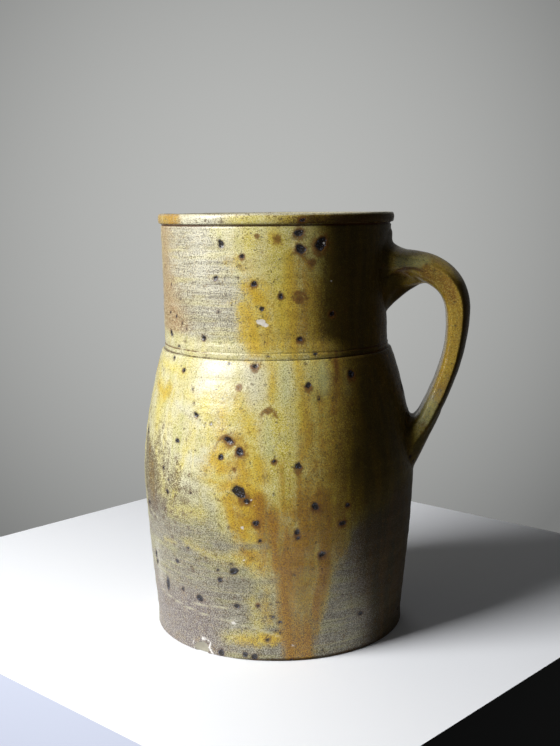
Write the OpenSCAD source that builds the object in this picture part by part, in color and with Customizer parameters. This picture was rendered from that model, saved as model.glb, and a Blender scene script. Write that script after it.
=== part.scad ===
// Stoneware jug: a thrown belly, a collar luted on top of it, and a pulled strap handle.
// Millimetres, +Z up. The origin is on the jug's axis, on the surface it stands on,
// and the handle lies along +X.

/* [Belly] */
// Height of the belly, up to the seam that carries the collar
belly_h = 183.5; // [172:0.5:195]
// Radius of the wall at the foot, before the foot's own flare
foot_r = 80.8; // [76:0.2:84]
// Radius of the belly where it is widest
belly_r = 89.2; // [86:0.2:93]
// Height at which the belly is widest
belly_z = 101.5; // [92:0.5:110]
// How far the belly's top edge stands out under the neck
shoulder_ledge = 2.3; // [1.6:0.1:4]
// Thickness of the floor
floor_t = 9; // [6:0.5:12]
// Thickness of the belly's wall
wall_t = 7.5; // [5:0.5:9]
// Radius inside, between the wall and the floor
floor_round = 16; // [10:1:24]
// How far the foot flares out
foot_flare = 1; // [0.4:0.1:2]
// Height of the foot's flare
foot_flare_h = 12; // [8:1:16]
// Bevel wiped round the foot's edge
foot_bevel = 1.2; // [0.6:0.1:2]
// Bevel wiped round the belly's top edge, which draws the seam
seam_bevel = 0.8; // [0.4:0.1:1.2]

/* [Collar] */
// Height of the collar, from the seam to the top of the rim
collar_h = 86.5; // [80:0.5:94]
// Outer radius of the neck where it is narrowest
neck_r = 72.4; // [71:0.1:73.5]
// How much wider the neck is under the rim
neck_flare = 1.8; // [0.5:0.1:3]
// Height above the seam at which the neck begins to widen
neck_flare_z = 21.5; // [16:0.5:30]
// Thickness of the neck's wall
neck_t = 6.4; // [4.5:0.1:8]
// Height of the rim's band
rim_h = 6.5; // [5:0.1:8]
// How far the rim's band stands out from the neck
rim_proud = 1.7; // [1:0.1:2.5]
// Radius of the rim's inner edge
rim_round = 3; // [1.5:0.1:4]
// Depth of the line cut under the rim
rim_line_d = 0.8; // [0.4:0.1:1.2]
// Height of the line cut under the rim
rim_line_h = 1.6; // [1:0.1:2.4]
// Height of the bead above the seam
bead_h = 4.2; // [3:0.1:6]
// How far the bead stands out from the neck
bead_proud = 1.5; // [0.8:0.1:2.2]
// Height of the line cut on each side of the bead
bead_line_h = 0.8; // [0.5:0.1:1.4]
// Depth of the line cut above the bead
bead_line_d = 0.4; // [0.2:0.1:0.8]

/* [Handle] */
// Height above the seam at which the strap leaves the neck
root_rise = 57.1; // [50:0.1:62]
// Distance from the jug's axis to the strap's middle, where it reaches furthest
reach = 117.6; // [108:0.2:128]
// Drop from the root to where the strap reaches furthest
reach_drop = 36.3; // [30:0.1:44]
// Depth below the seam at which the strap meets the belly
tail_drop = 62.3; // [50:0.1:70]
// How far the strap runs straight out of the neck
root_pull = 20; // [14:0.5:26]
// How far that run falls
root_fall = 3; // [0:0.1:6]
// Length that rounds the strap's crown
crown_pull = 27.7; // [22:0.1:34]
// Length that rounds the strap below its furthest reach
grip_pull = 19; // [12:0.5:26]
// How far out the strap aims before it meets the belly
tail_pull_out = 24.9; // [18:0.1:30]
// How far up the strap aims before it meets the belly
tail_pull_up = 38.1; // [30:0.1:46]
// Thickness of the strap at its root
root_t = 12.8; // [10:0.1:15]
// Thickness of the strap over its crown
crown_t = 18; // [14:0.1:20]
// Thickness of the strap at the grip
grip_t = 12.5; // [10:0.1:15]
// Thickness of the strap where it meets the belly
tail_t = 12.6; // [11:0.1:16]
// Width of the strap at the grip
strap_w = 34; // [26:0.5:40]
// Width of the root, pressed on the neck
root_w = 48; // [46:0.5:64]
// Width of the tail, wiped on to the belly
tail_w = 46; // [42:0.5:60]
// Height of the root, pressed on the neck
root_h = 22; // [18:0.5:28]
// Length over which the root widens
root_run = 34; // [24:0.5:44]
// Length over which the tail widens
tail_run = 40; // [28:0.5:50]

/* [Joins] */
// Thickness of the slip that holds the pieces together
slip_t = 0.05; // [0.03:0.01:0.1]
// Height of the wad pressed under the root
upper_wad_h = 22.5; // [14:0.5:26]
// Length of the wad along the underside of the strap
upper_wad_run = 27; // [18:0.5:32]
// Thickness of the wad wiped under the tail
lower_wad_t = 2.8; // [2:0.1:6]
// Length of the wad along the outside of the strap
lower_wad_run = 26; // [18:0.5:34]
// Thickness at which both wads thin out on the strap
wad_edge_t = 0.7; // [0.4:0.1:1.2]

/* [Hidden] */
$fn = 96;

// How round the belly is below and above its widest place, as powers
lower_curve_share = 1.25;
upper_curve_share = 1.8;
neck_curve_share = 1.5;
// The strap's section: a flat inner face with eased corners, and a domed outer face
inner_corner_share = 0.3;
side_share = 0.3;
dome_share = 0.7;
// Where the strap is thickest, and where it is down to the grip, as shares of its length
crown_share = 0.19;
grip_share = 0.63;
// How thick the sides of the strap's two ends are against their middle
end_side_share = 0.34;
// Width of each wad against the strap it lies on, at the wall and at its tip
wad_width_share = 0.9;
wad_tip_share = 0.45;
// How full a wad is at its sides
wad_side_share = 0.16;
// Length over which the tail turns on to the wall, against its thickness
tail_turn_share = 1.5;
// How far the bead's arc goes to each side of its middle, in degrees
bead_turn = 75;
// How fast each wad thins out along the strap, as powers
upper_thin_share = 1.15;
lower_thin_share = 1.6;

wall_steps = 26;
arc_steps = 8;
rings_above = 26;
rings_below = 28;
across = 20;
layers = 4;

jug_h = belly_h + collar_h;
mouth_r = neck_r - neck_t;
rim_z = jug_h - rim_h;
bead_z = belly_h + bead_line_h;
neck_z = bead_z + bead_h + bead_line_h;
shoulder_r = neck_r + shoulder_ledge;
root_z = belly_h + root_rise;
tail_z = belly_h - tail_drop;

function mix(a, b, k) = a + (b - a) * k;
function ease(k) = let (c = min(max(k, 0), 1)) c * c * (3 - 2 * c);
function arc(x, z, rx, rz, a0, a1) =
    [for (i = [0 : arc_steps]) let (a = mix(a0, a1, i / arc_steps)) [x + rx * cos(a), z + rz * sin(a)]];

// Outer radius of the jug at a height, without the foot, the bead and the rim
function belly_wall(z) = z < belly_z
    ? belly_r - (belly_r - foot_r) * pow(1 - z / belly_z, lower_curve_share)
    : belly_r - (belly_r - shoulder_r) * pow((z - belly_z) / (belly_h - belly_z), upper_curve_share);
function neck_wall(z) =
    let (up = max(z - belly_h - neck_flare_z, 0) / (rim_z - belly_h - neck_flare_z))
    neck_r + neck_flare * pow(up, neck_curve_share);
function wall_r(z) = z < belly_h ? belly_wall(max(z, 0)) : neck_wall(z);

function foot_wall(z) = belly_wall(z) + foot_flare * pow(max(1 - z / foot_flare_h, 0), 2);
function belly_inside(z) =
    belly_wall(z) - mix(wall_t, shoulder_r - mouth_r, ease((z - belly_z) / (belly_h - belly_z)));

module belly() {
    inner_z = floor_t + floor_round;
    foot_top = max(foot_flare_h, inner_z);
    color([0.62, 0.55, 0.30])
    rotate_extrude()
    polygon(concat(
        [[0, 0], [foot_wall(0) - foot_bevel, 0]],
        [for (i = [0 : arc_steps]) let (z = mix(foot_bevel, foot_top, i / arc_steps)) [foot_wall(z), z]],
        [for (i = [1 : wall_steps]) let (z = mix(foot_top, belly_h - seam_bevel, i / wall_steps))
            [belly_wall(z), z]],
        [[shoulder_r - seam_bevel, belly_h], [mouth_r, belly_h]],
        [for (i = [1 : wall_steps]) let (z = mix(belly_h, inner_z, i / wall_steps)) [belly_inside(z), z]],
        [for (p = arc(belly_inside(inner_z) - floor_round, inner_z, floor_round, floor_round, 0, -90))
            if (p.y < inner_z) p],
        [[0, floor_t]]
    ));
}

module neck_collar() {
    neck_top = neck_wall(rim_z);
    inner_top = neck_top - neck_t;
    color([0.55, 0.52, 0.42])
    rotate_extrude()
    polygon(concat(
        [[mouth_r, belly_h], [shoulder_r - seam_bevel, belly_h]],
        [[neck_r, bead_z]],
        arc(neck_r, bead_z + bead_h / 2, bead_proud, bead_h / 2, -bead_turn, bead_turn),
        [[neck_r - bead_line_d, bead_z + bead_h], [neck_r, neck_z]],
        [for (i = [1 : wall_steps]) let (z = mix(neck_z, rim_z - rim_line_h, i / wall_steps))
            [neck_wall(z), z]],
        [[neck_top - rim_line_d, rim_z - rim_line_h / 2]],
        arc(neck_top, rim_z + rim_h / 2, rim_proud, rim_h / 2, -90, 90),
        arc(inner_top + rim_round, jug_h - rim_round, rim_round, rim_round, 90, 180),
        [for (i = [1 : wall_steps - 1]) let (z = mix(jug_h - rim_round, belly_h, i / wall_steps))
            [neck_wall(z) - neck_t, z]]
    ));
}

// The strap's middle line: one curve over the crown, one down to the belly
crown_curve = [
    [wall_r(root_z), root_z], [wall_r(root_z) + root_pull, root_z - root_fall],
    [reach, root_z - reach_drop + crown_pull], [reach, root_z - reach_drop]];
grip_curve = [
    [reach, root_z - reach_drop], [reach, root_z - reach_drop - grip_pull],
    [wall_r(tail_z) + tail_pull_out, tail_z + tail_pull_up], [wall_r(tail_z), tail_z]];
function on_curve(p, t) =
    pow(1 - t, 3) * p[0] + 3 * pow(1 - t, 2) * t * p[1] + 3 * (1 - t) * pow(t, 2) * p[2] + pow(t, 3) * p[3];
function along_curve(p, t) =
    let (d = pow(1 - t, 2) * (p[1] - p[0]) + 2 * (1 - t) * t * (p[2] - p[1]) + pow(t, 2) * (p[3] - p[2]))
    d / norm(d);

// One place and one direction for each ring of the strap, and its distance from the root
middle = concat(
    [for (i = [0 : rings_above]) on_curve(crown_curve, i / rings_above)],
    [for (i = [1 : rings_below]) on_curve(grip_curve, i / rings_below)]);
heading = concat(
    [for (i = [0 : rings_above]) along_curve(crown_curve, i / rings_above)],
    [for (i = [1 : rings_below]) along_curve(grip_curve, i / rings_below)]);
last = len(middle) - 1;
run = [for (i = 0, s = 0; i <= last; i = i + 1,
    s = s + (i <= last ? norm(middle[i] - middle[i - 1]) : 0)) s];
strap_l = run[last];

// The rings nearest the wall at each end, which turn from the strap's section to the wall's shape
root_ring = max([for (i = [0 : last]) if (run[i] < root_t) i]);
tail_ring = min([for (i = [0 : last]) if (strap_l - run[i] < tail_turn_share * tail_t) i]);
tail_stretch = 1 / abs(heading[tail_ring].x);

function flare(s, l) = pow(max(1 - s / l, 0), 2);
function half_w(i) = (strap_w + (root_w - strap_w) * flare(run[i], root_run)
    + (tail_w - strap_w) * flare(strap_l - run[i], tail_run)) / 2;
function strap_t(s) = s < crown_share * strap_l
    ? mix(root_t, crown_t, ease(s / strap_l / crown_share))
    : s < grip_share * strap_l
        ? mix(crown_t, grip_t, ease((s / strap_l - crown_share) / (grip_share - crown_share)))
        : mix(grip_t, tail_t, ease((s / strap_l - grip_share) / (1 - grip_share)));
function half_t(i) = (strap_t(run[i]) + (root_h - root_t) * flare(run[i], run[root_ring])) / 2;

// A point on the jug's wall, a layer of slip away from it
function on_wall(y, z) = [sqrt(pow(wall_r(z) + slip_t, 2) - pow(y, 2)), y, z];
// A point of ring i, across the strap by y and towards the jug by d
function on_ring(i, y, d) =
    [middle[i].x + heading[i].y * d, y, middle[i].y - heading[i].x * d];
function place(i, y, d) =
    i < root_ring ? mix(on_wall(y, root_z - d), on_ring(root_ring, y, d), run[i] / run[root_ring])
    : i > tail_ring ? mix(on_ring(tail_ring, y, d), on_wall(y, tail_z + d * tail_stretch),
        (run[i] - run[tail_ring]) / (strap_l - run[tail_ring]))
    : on_ring(i, y, d);

// Shares of the half width, closer together at the sides
function side(c) = sin(mix(-90, 90, c / across));
// The strap's two faces, which turn into an oval where it is pressed on the wall
function oval(u) = mix(end_side_share, 1, sqrt(max(1 - u * u, 0)));
function pressed(i) = max(flare(run[i], root_run), flare(strap_l - run[i], tail_run));
function inner_face(i, u) = half_t(i) * mix(1 - inner_corner_share * pow(u, 8), oval(u), pressed(i));
function outer_face(i, u) = -half_t(i)
    * mix(side_share + (1 - side_share) * pow(max(1 - u * u, 0), dome_share), oval(u), pressed(i));

// A lofted piece of clay. Each ring is a lattice of layers by places across, of which only the
// border is used, and the two end rings are closed by their whole lattice.
// turn is true where the layers run towards the jug instead of away from it.
module clay(from, to, turn, spots) {
    border = concat(
        [for (c = [0 : across - 1]) [0, c]], [for (m = [0 : layers - 1]) [m, across]],
        [for (c = [across : -1 : 1]) [layers, c]], [for (m = [layers : -1 : 1]) [m, 0]]);
    inside = [for (m = [1 : layers - 1]) for (c = [1 : across - 1]) [m, c]];
    n = len(border);
    rings = to - from + 1;
    tube = [for (j = [0 : rings - 1]) for (b = border) spots[j][b[0]][b[1]]];
    caps = [for (j = [0, rings - 1]) for (b = inside) spots[j][b[0]][b[1]]];
    function spot(e, m, c) =
        let (start = e * (rings - 1) * n)
        m == 0 ? start + c : c == across ? start + across + m
        : m == layers ? start + across + layers + across - c
        : c == 0 ? start + n - m
        : rings * n + e * len(inside) + (m - 1) * (across - 1) + c - 1;
    walls = [for (j = [0 : rings - 2]) for (k = [0 : n - 1]) let (
        a = j * n + k, b = j * n + (k + 1) % n, c = b + n, d = a + n) each [[a, c, b], [a, d, c]]];
    ends = [for (e = [0, 1]) for (m = [0 : layers - 1]) for (c = [0 : across - 1]) let (
        a = spot(e, m, c), b = spot(e, m, c + 1), f = spot(e, m + 1, c + 1), g = spot(e, m + 1, c))
        each (e == 0 ? [[a, b, f], [a, f, g]] : [[a, f, b], [a, g, f]])];
    faces = concat(walls, ends);
    polyhedron(concat(tube, caps), turn ? [for (f = faces) [f[0], f[2], f[1]]] : faces);
}

module handle() {
    color([0.66, 0.52, 0.20])
    clay(0, last, false, [for (i = [0 : last]) [for (m = [0 : layers]) [for (c = [0 : across])
        let (u = side(c))
        place(i, u * half_w(i), mix(inner_face(i, u), outer_face(i, u), m / layers))]]]);
}

// How full a wad is across its width
function hang(u) = mix(wad_side_share, 1, sqrt(max(1 - u * u, 0)));

module upper_join_wad() {
    end = min([for (i = [0 : last]) if (run[i] >= upper_wad_run) i]);
    color([0.45, 0.33, 0.16])
    clay(0, end, true, [for (i = [0 : end]) let (left = 1 - run[i] / run[end])
        [for (m = [0 : layers]) [for (c = [0 : across]) let (
            u = side(c) * mix(wad_tip_share, wad_width_share, sqrt(left)),
            deep = mix(wad_edge_t, upper_wad_h, pow(left, upper_thin_share)) * hang(side(c)))
        place(i, u * half_w(i), inner_face(i, u) + slip_t + deep * m / layers)]]]);
}

module lower_join_wad() {
    start = max([for (i = [0 : last]) if (strap_l - run[i] >= lower_wad_run) i]);
    color([0.42, 0.32, 0.18])
    clay(start, last, true, [for (i = [start : last])
        let (done = (run[i] - run[start]) / (strap_l - run[start]))
        [for (m = [0 : layers]) [for (c = [0 : across]) let (
            u = side(c) * mix(wad_tip_share, wad_width_share, sqrt(done)),
            deep = mix(wad_edge_t, lower_wad_t, pow(done, lower_thin_share)) * hang(side(c)))
        place(i, u * half_w(i), outer_face(i, u) - slip_t - deep * (layers - m) / layers)]]]);
}

belly();
neck_collar();
handle();
upper_join_wad();
lower_join_wad();
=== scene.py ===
import math
import bpy
import numpy as np
from mathutils import Matrix, Vector, noise


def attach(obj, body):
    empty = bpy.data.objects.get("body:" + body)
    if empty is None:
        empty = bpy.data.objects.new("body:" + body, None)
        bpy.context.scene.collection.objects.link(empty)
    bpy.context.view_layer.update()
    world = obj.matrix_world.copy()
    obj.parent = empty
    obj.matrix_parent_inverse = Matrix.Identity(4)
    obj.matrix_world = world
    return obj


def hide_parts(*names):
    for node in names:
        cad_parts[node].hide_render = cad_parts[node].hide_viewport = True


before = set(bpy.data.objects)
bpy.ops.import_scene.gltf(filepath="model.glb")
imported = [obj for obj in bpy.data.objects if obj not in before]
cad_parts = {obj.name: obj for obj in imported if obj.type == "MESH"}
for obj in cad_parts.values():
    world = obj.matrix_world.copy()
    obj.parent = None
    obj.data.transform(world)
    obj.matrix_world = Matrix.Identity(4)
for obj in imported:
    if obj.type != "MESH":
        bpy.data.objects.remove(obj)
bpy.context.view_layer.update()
MM = 0.001


def linked(name, data):
    """A new object of the scene."""
    made = bpy.data.objects.new(name, data)
    bpy.context.collection.objects.link(made)
    return made


# ---- the camera, set by the photograph's perspective ------------------------------
IMAGE_W, IMAGE_H = 560, 746
FOCAL_PX = 1074.1
SENSOR = 36.0
CAMERA_DISTANCE = 701.0
CAMERA_HEIGHT = 273.0
PITCH, ROLL, YAW = (math.radians(a) for a in (8.76, 0.62, 0.16))
HANDLE_TURN = math.radians(7)
FRONT = math.radians(-90) + HANDLE_TURN


def camera_axes():
    level_right = Vector((math.cos(YAW), -math.sin(YAW), 0))
    ahead = Vector((math.sin(YAW), math.cos(YAW), 0))
    forward = math.cos(PITCH) * ahead - math.sin(PITCH) * Vector((0, 0, 1))
    level_up = math.sin(PITCH) * ahead + math.cos(PITCH) * Vector((0, 0, 1))
    right = math.cos(ROLL) * level_right - math.sin(ROLL) * level_up
    up = math.sin(ROLL) * level_right + math.cos(ROLL) * level_up
    turn = Matrix.Rotation(HANDLE_TURN, 3, "Z")
    return turn @ right, turn @ up, turn @ forward


RIGHT, UP, FORWARD = camera_axes()
EYE = Matrix.Rotation(HANDLE_TURN, 3, "Z") @ Vector((0, -CAMERA_DISTANCE, CAMERA_HEIGHT))


def sight(px, py):
    """The direction from the eye through a pixel of the photograph."""
    return FORWARD + RIGHT * ((px - IMAGE_W / 2) / FOCAL_PX) - UP * ((py - IMAGE_H / 2) / FOCAL_PX)


camera = linked("camera", bpy.data.cameras.new("camera"))
camera.data.sensor_width = SENSOR
camera.data.lens = FOCAL_PX * SENSOR / IMAGE_H
camera.data.clip_start = 0.01
turned = Matrix((RIGHT, UP, -FORWARD)).transposed().to_4x4()
camera.matrix_world = Matrix.Translation(EYE * MM) @ turned
bpy.context.scene.camera = camera

# ---- the jug's profile: the sizes of its solids, with the bead worn finer ----------
BELLY_H, FOOT_R, BELLY_R, BELLY_Z = 183.5, 80.8, 89.2, 101.5
FLOOR_T, WALL_T, FLOOR_ROUND = 9.0, 7.5, 16.0
FOOT_FLARE, FOOT_FLARE_H, FOOT_BEVEL, SEAM_BEVEL = 1.0, 12.0, 1.2, 0.8
COLLAR_H, NECK_R, NECK_FLARE, NECK_FLARE_Z, NECK_T = 86.5, 72.4, 1.8, 21.5, 6.4
SHOULDER_R = NECK_R + 2.3
RIM_H, RIM_PROUD, RIM_ROUND, RIM_LINE_D, RIM_LINE_H = 6.5, 1.7, 3.0, 0.8, 1.6
BEAD_H, BEAD_PROUD, BEAD_LINE_H, BEAD_LINE_D = 3.2, 1.3, 0.6, 0.4
JUG_H = BELLY_H + COLLAR_H
RIM_Z = JUG_H - RIM_H
MOUTH_R = NECK_R - NECK_T
BEAD_Z = BELLY_H + BEAD_LINE_H
NECK_Z = BEAD_Z + BEAD_H + BEAD_LINE_H
FOOT_CURVE, SHOULDER_CURVE, NECK_CURVE = 1.25, 1.8, 1.5
# Where a line of sight is tried for the wall, in mm from the eye, and the strap's near side
SIGHT_FROM, SIGHT_TO, SIGHT_STEP = 480.0, 800.0, 0.25
STRAP_SIDE = -15.0
# A place that lies in no spot is said to lie this far inside one, in mm
NO_SPOT = -6.0


def ease(k):
    k = np.clip(k, 0.0, 1.0)
    return k * k * (3 - 2 * k)


def mix(a, b, k):
    return a + (b - a) * k


def belly_wall(z):
    below = np.clip(1 - z / BELLY_Z, 0, 1) ** FOOT_CURVE
    above = np.clip((z - BELLY_Z) / (BELLY_H - BELLY_Z), 0, 1) ** SHOULDER_CURVE
    return BELLY_R - (BELLY_R - FOOT_R) * below - (BELLY_R - SHOULDER_R) * above


def neck_wall(z):
    up = np.clip((z - BELLY_H - NECK_FLARE_Z) / (RIM_Z - BELLY_H - NECK_FLARE_Z), 0, 1)
    return NECK_R + NECK_FLARE * up**NECK_CURVE


def wall_r(z):
    return np.where(z < BELLY_H, belly_wall(z), neck_wall(z))


def on_jug(px, py):
    """Where a pixel's line of sight first meets the wall: the turn from the front, and the height."""
    step = sight(px, py)
    t = np.arange(SIGHT_FROM, SIGHT_TO, SIGHT_STEP)
    x, y, z = (EYE[i] + step[i] * t for i in range(3))
    gap = np.hypot(x, y) - wall_r(np.clip(z, 0, JUG_H))
    hits = np.nonzero(gap < 0)[0]
    k = hits[0] if len(hits) else int(np.argmin(gap))
    turn = (math.atan2(y[k], x[k]) - FRONT + math.pi) % (2 * math.pi) - math.pi
    return turn, float(z[k])


def on_strap(px, py, side=STRAP_SIDE):
    """Where a pixel's line of sight meets the strap's near side: its x and its height."""
    step = sight(px, py)
    t = (side - EYE[1]) / step[1]
    return EYE[0] + step[0] * t, EYE[2] + step[2] * t


# ---- painting: soft shapes laid on the unrolled wall ------------------------------
def soft_line(u, v, spots, soft):
    """1 along a line through spots (u, v, half width), fading out over soft."""
    best = np.full(u.shape, np.inf)
    for (ua, va, ha), (ub, vb, hb) in zip(spots, spots[1:]):
        length = max((ub - ua) ** 2 + (vb - va) ** 2, 1e-9)
        k = np.clip(((u - ua) * (ub - ua) + (v - va) * (vb - va)) / length, 0, 1)
        away = np.hypot(u - mix(ua, ub, k), v - mix(va, vb, k)) - mix(ha, hb, k)
        best = np.minimum(best, away)
    return ease(1 - (best + soft / 2) / soft)


def stroke(turn, z, path, soft):
    """A soft line on the wall through photograph pixels (x, y, half width in mm)."""
    spots = []
    for px, py, half in path:
        t, h = on_jug(px, py)
        spots.append((t * float(wall_r(np.array(h))), h, half))
    if len(spots) == 1:
        spots = spots * 2
    return soft_line(turn * wall_r(z), z, spots, soft)


def laid(turn, z, strokes):
    """The strongest of several strokes at each place."""
    best = np.zeros(turn.shape)
    for strength, soft, path in strokes:
        best = np.maximum(best, strength * stroke(turn, z, path, soft))
    return best


def wander(points, scale, octaves, seed):
    """Smooth noise from about -1 to 1 at points in mm; scale is in waves per mm."""
    shift = Vector((seed, 2.3 * seed, -1.7 * seed))
    return np.array([noise.fractal(Vector(p) * scale + shift, 1.0, 2.0, octaves) for p in points])


def spot_distance(turn, z, spots, seed):
    """How far inside the nearest spot a place lies, in mm, and how deep and raised it is there."""
    rng = np.random.default_rng(seed)
    inside = np.full(turn.shape, NO_SPOT)
    sunk = np.zeros(turn.shape)
    u = turn * wall_r(z)
    for t0, z0, wide, tall, lean, deep in spots:
        u0 = t0 * float(wall_r(np.array(z0)))
        lobes = rng.uniform(0, 6.283, 3)
        reach = max(wide, tall) * 1.2 - NO_SPOT
        near = np.nonzero((np.abs(u - u0) < reach) & (np.abs(z - z0) < reach))[0]
        du, dv = u[near] - u0, z[near] - z0
        c, s = math.cos(lean), math.sin(lean)
        a, b = (du * c + dv * s) / (wide / 2), (dv * c - du * s) / (tall / 2)
        around = np.arctan2(b, a)
        wobble = 1 + 0.07 * np.sin(2 * around + lobes[0]) + 0.05 * np.sin(3 * around + lobes[1])
        far = np.hypot(a, b) * (wobble + 0.04 * np.sin(5 * around + lobes[2]))
        inside[near] = np.maximum(inside[near], (1 - far) * min(wide, tall) / 2)
        bowl = np.clip(1 - far**2, 0, 1) ** 1.2
        lip = np.exp(-(((far - 1.25) / 0.3) ** 2))
        sunk[near] += deep * (bowl - 0.2 * lip)
    return inside, sunk


# ---- what the photograph shows, place by place ------------------------------------
# Iron spots and pits: x, y, width and height in mm, and a lean in degrees where there is one
NECK_PITS = [
    (221, 244, 3.6, 6.2, 25), (242, 256, 3.2, 2.8), (262, 252, 1, 1), (216, 278, 3.4, 3.2),
    (238, 278, 1.4, 1.4), (254, 284, 3.6, 3.4), (281, 296, 2.6, 4.2, 10), (262, 309, 3.4, 3),
    (299, 233, 6.2, 4, 10), (301, 249, 6.2, 5.6, -20), (321, 244, 6.2, 8.6, -10), (204, 338, 4, 3.4),
    (332, 314, 3.6, 3), (265, 323, 1.5, 0.9, 25), (258, 325, 1.2, 0.8, -20), (300, 339, 3.4, 3.2),
    (177, 316, 2.6, 2.4), (181, 299, 1.6, 1.6), (183, 323, 1.4, 1.6), (187, 329, 1.4, 2),
    (219, 312, 2, 1.6), (240, 266, 1.2, 1), (302, 220, 4, 2.2), (222, 222, 2, 1.2), (281, 219, 1.4, 1.2),
    (186, 341, 1.8, 1.2), (180, 346, 2.2, 1.4), (315, 354, 3.4, 2.2), (268, 356, 2, 1.4),
]
BELLY_PITS = [
    (184, 370, 3.2, 3), (193, 389, 2.2, 2), (196, 415, 4, 3.4), (194, 403, 1.6, 1.4), (211, 424, 2.4, 2.2),
    (177, 441, 3.6, 3), (186, 440, 1.2, 1.6), (229, 364, 2.2, 2), (255, 366, 4.4, 2.8),
    (306, 364, 1.6, 1.4), (308, 385, 3.6, 3.8), (351, 374, 5.6, 4.4), (319, 399, 2.2, 1.8),
    (248, 388, 1.2, 1.2), (229, 440, 6.4, 3.6, -35), (240, 452, 4.2, 5.4, 15), (221, 457, 3.6, 3.4),
    (274, 461, 2.4, 2.2), (298, 466, 4.4, 3.8), (239, 492, 9.5, 6.4, -42), (247, 501, 4, 3.4, -30),
    (163, 468, 2, 3.4), (168, 480, 2.2, 1.8), (167, 492, 2.6, 3.4), (190, 493, 2, 1.6),
    (160, 460, 1.2, 1.2), (168, 455, 1.3, 1.2), (163, 476, 1.4, 1.2), (164, 508, 1.7, 1.5),
    (177, 517, 2, 1.6), (148, 431, 3.4, 4), (174, 358, 3, 2.4), (175, 349, 2.2, 1.4), (154, 383, 1.6, 2),
    (315, 506, 4.2, 5, 40), (347, 505, 3.4, 2.2), (172, 446, 0.9, 0.9), (158, 425, 1, 1),
    (205, 474, 1, 0.9), (218, 500, 1, 1),
]
FOOT_PITS = [
    (256, 523, 4, 3.4, 40), (229, 527, 1.6, 1.4), (188, 528, 1.8, 1.5), (297, 532, 3.4, 3.6),
    (298, 538, 3, 2.6), (260, 541, 2.6, 2.2), (322, 554, 4.6, 3.4, 20), (342, 523, 4.4, 3),
    (188, 548, 2.2, 1.8), (172, 537, 1.8, 1.4), (174, 544, 1.9, 1.5), (177, 561, 3.6, 3.2),
    (156, 553, 4.4, 5.6), (206, 558, 1.5, 1.4), (216, 555, 1.3, 1.2), (234, 571, 6.2, 4.6),
    (232, 564, 3.8, 1.8), (218, 570, 2.6, 2.4), (220, 580, 3.4, 3.2), (243, 580, 1.2, 1),
    (294, 575, 2, 1.7), (168, 583, 4.6, 9.5, 8), (200, 598, 5.6, 4.6), (183, 589, 3, 2.4),
    (173, 600, 1.7, 1.4), (237, 606, 4, 3.4), (235, 598, 1.2, 1), (258, 606, 2.6, 1.8),
    (271, 604, 1.9, 1.5), (277, 602, 1.6, 1.6), (273, 617, 2.8, 2), (280, 622, 2.6, 2),
    (276, 631, 2.2, 1.7), (280, 633, 1.9, 1.5), (268, 640, 3.2, 2.4), (342, 595, 2, 1.6),
    (360, 613, 4.4, 3), (322, 650, 2.4, 1.8), (222, 652, 5, 4.2), (246, 654, 4.2, 3.2), (255, 656, 5, 3.4),
    (291, 659, 2.4, 1.4), (226, 639, 1.4, 1.2), (191, 567, 1.6, 1.4), (193, 571, 1.3, 1.2),
    (188, 570, 1.2, 1), (165, 552, 1.6, 1.2), (151, 527, 2.4, 1.4),
]
# Softer brown spots and the brown rings round pits: x, y and radius in mm
BROWN_SPOTS = [
    (277, 239, 3), (257, 236, 1.8), (299, 300, 3.4), (299, 234, 4.8), (301, 250, 4.8), (321, 244, 7),
    (318, 252, 4), (242, 257, 2.4), (254, 286, 2.6), (281, 297, 2.6), (239, 388, 2.4), (268, 411, 2.6),
    (308, 388, 3), (274, 462, 2.2), (298, 470, 3.2), (351, 376, 4.2), (315, 508, 3.6), (322, 556, 3.8),
    (256, 525, 3.2), (229, 441, 4.4), (240, 453, 4), (300, 341, 3.2), (332, 315, 3.2), (255, 368, 3.2),
    (297, 536, 3), (245, 500, 5), (302, 221, 3.2), (183, 371, 1.6), (342, 524, 3.2), (221, 458, 2),
    (234, 470, 1.6), (216, 279, 1.4), (312, 262, 3), (258, 605, 2), (347, 506, 2.4), (196, 417, 1.8),
    (204, 339, 1.6),
]
# Pale places where the glaze has burst or pooled white, and painted white glints at (301, 231), (324, 243)
# and (331, 281): x, y, width and height in mm
PALE_SPOTS_AND_GLINTS = [
    (261, 322, 6.4, 3.6), (265, 325, 4.6, 2.6), (242, 528, 2.4, 1.8), (234, 623, 3.4, 2.2),
    (293, 645, 3.4, 1.4), (211, 424, 2.2, 1.6), (244, 560, 2, 1.4), (200, 497, 1.4, 1), (210, 497, 1.5, 1),
    (246, 503, 1.4, 1.2), (251, 500, 1.6, 1.2), (254, 505, 1.3, 1.1), (190, 495, 1.2, 1),
    (203, 527, 1.2, 0.9), (331, 281, 2, 0.9), (235, 447, 1.6, 1.2), (241, 489, 1, 0.8),
    (301, 231, 1.2, 0.8), (324, 243, 0.9, 1.6), (232, 499, 1.2, 0.9), (218, 422, 1.2, 1),
]
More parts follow.
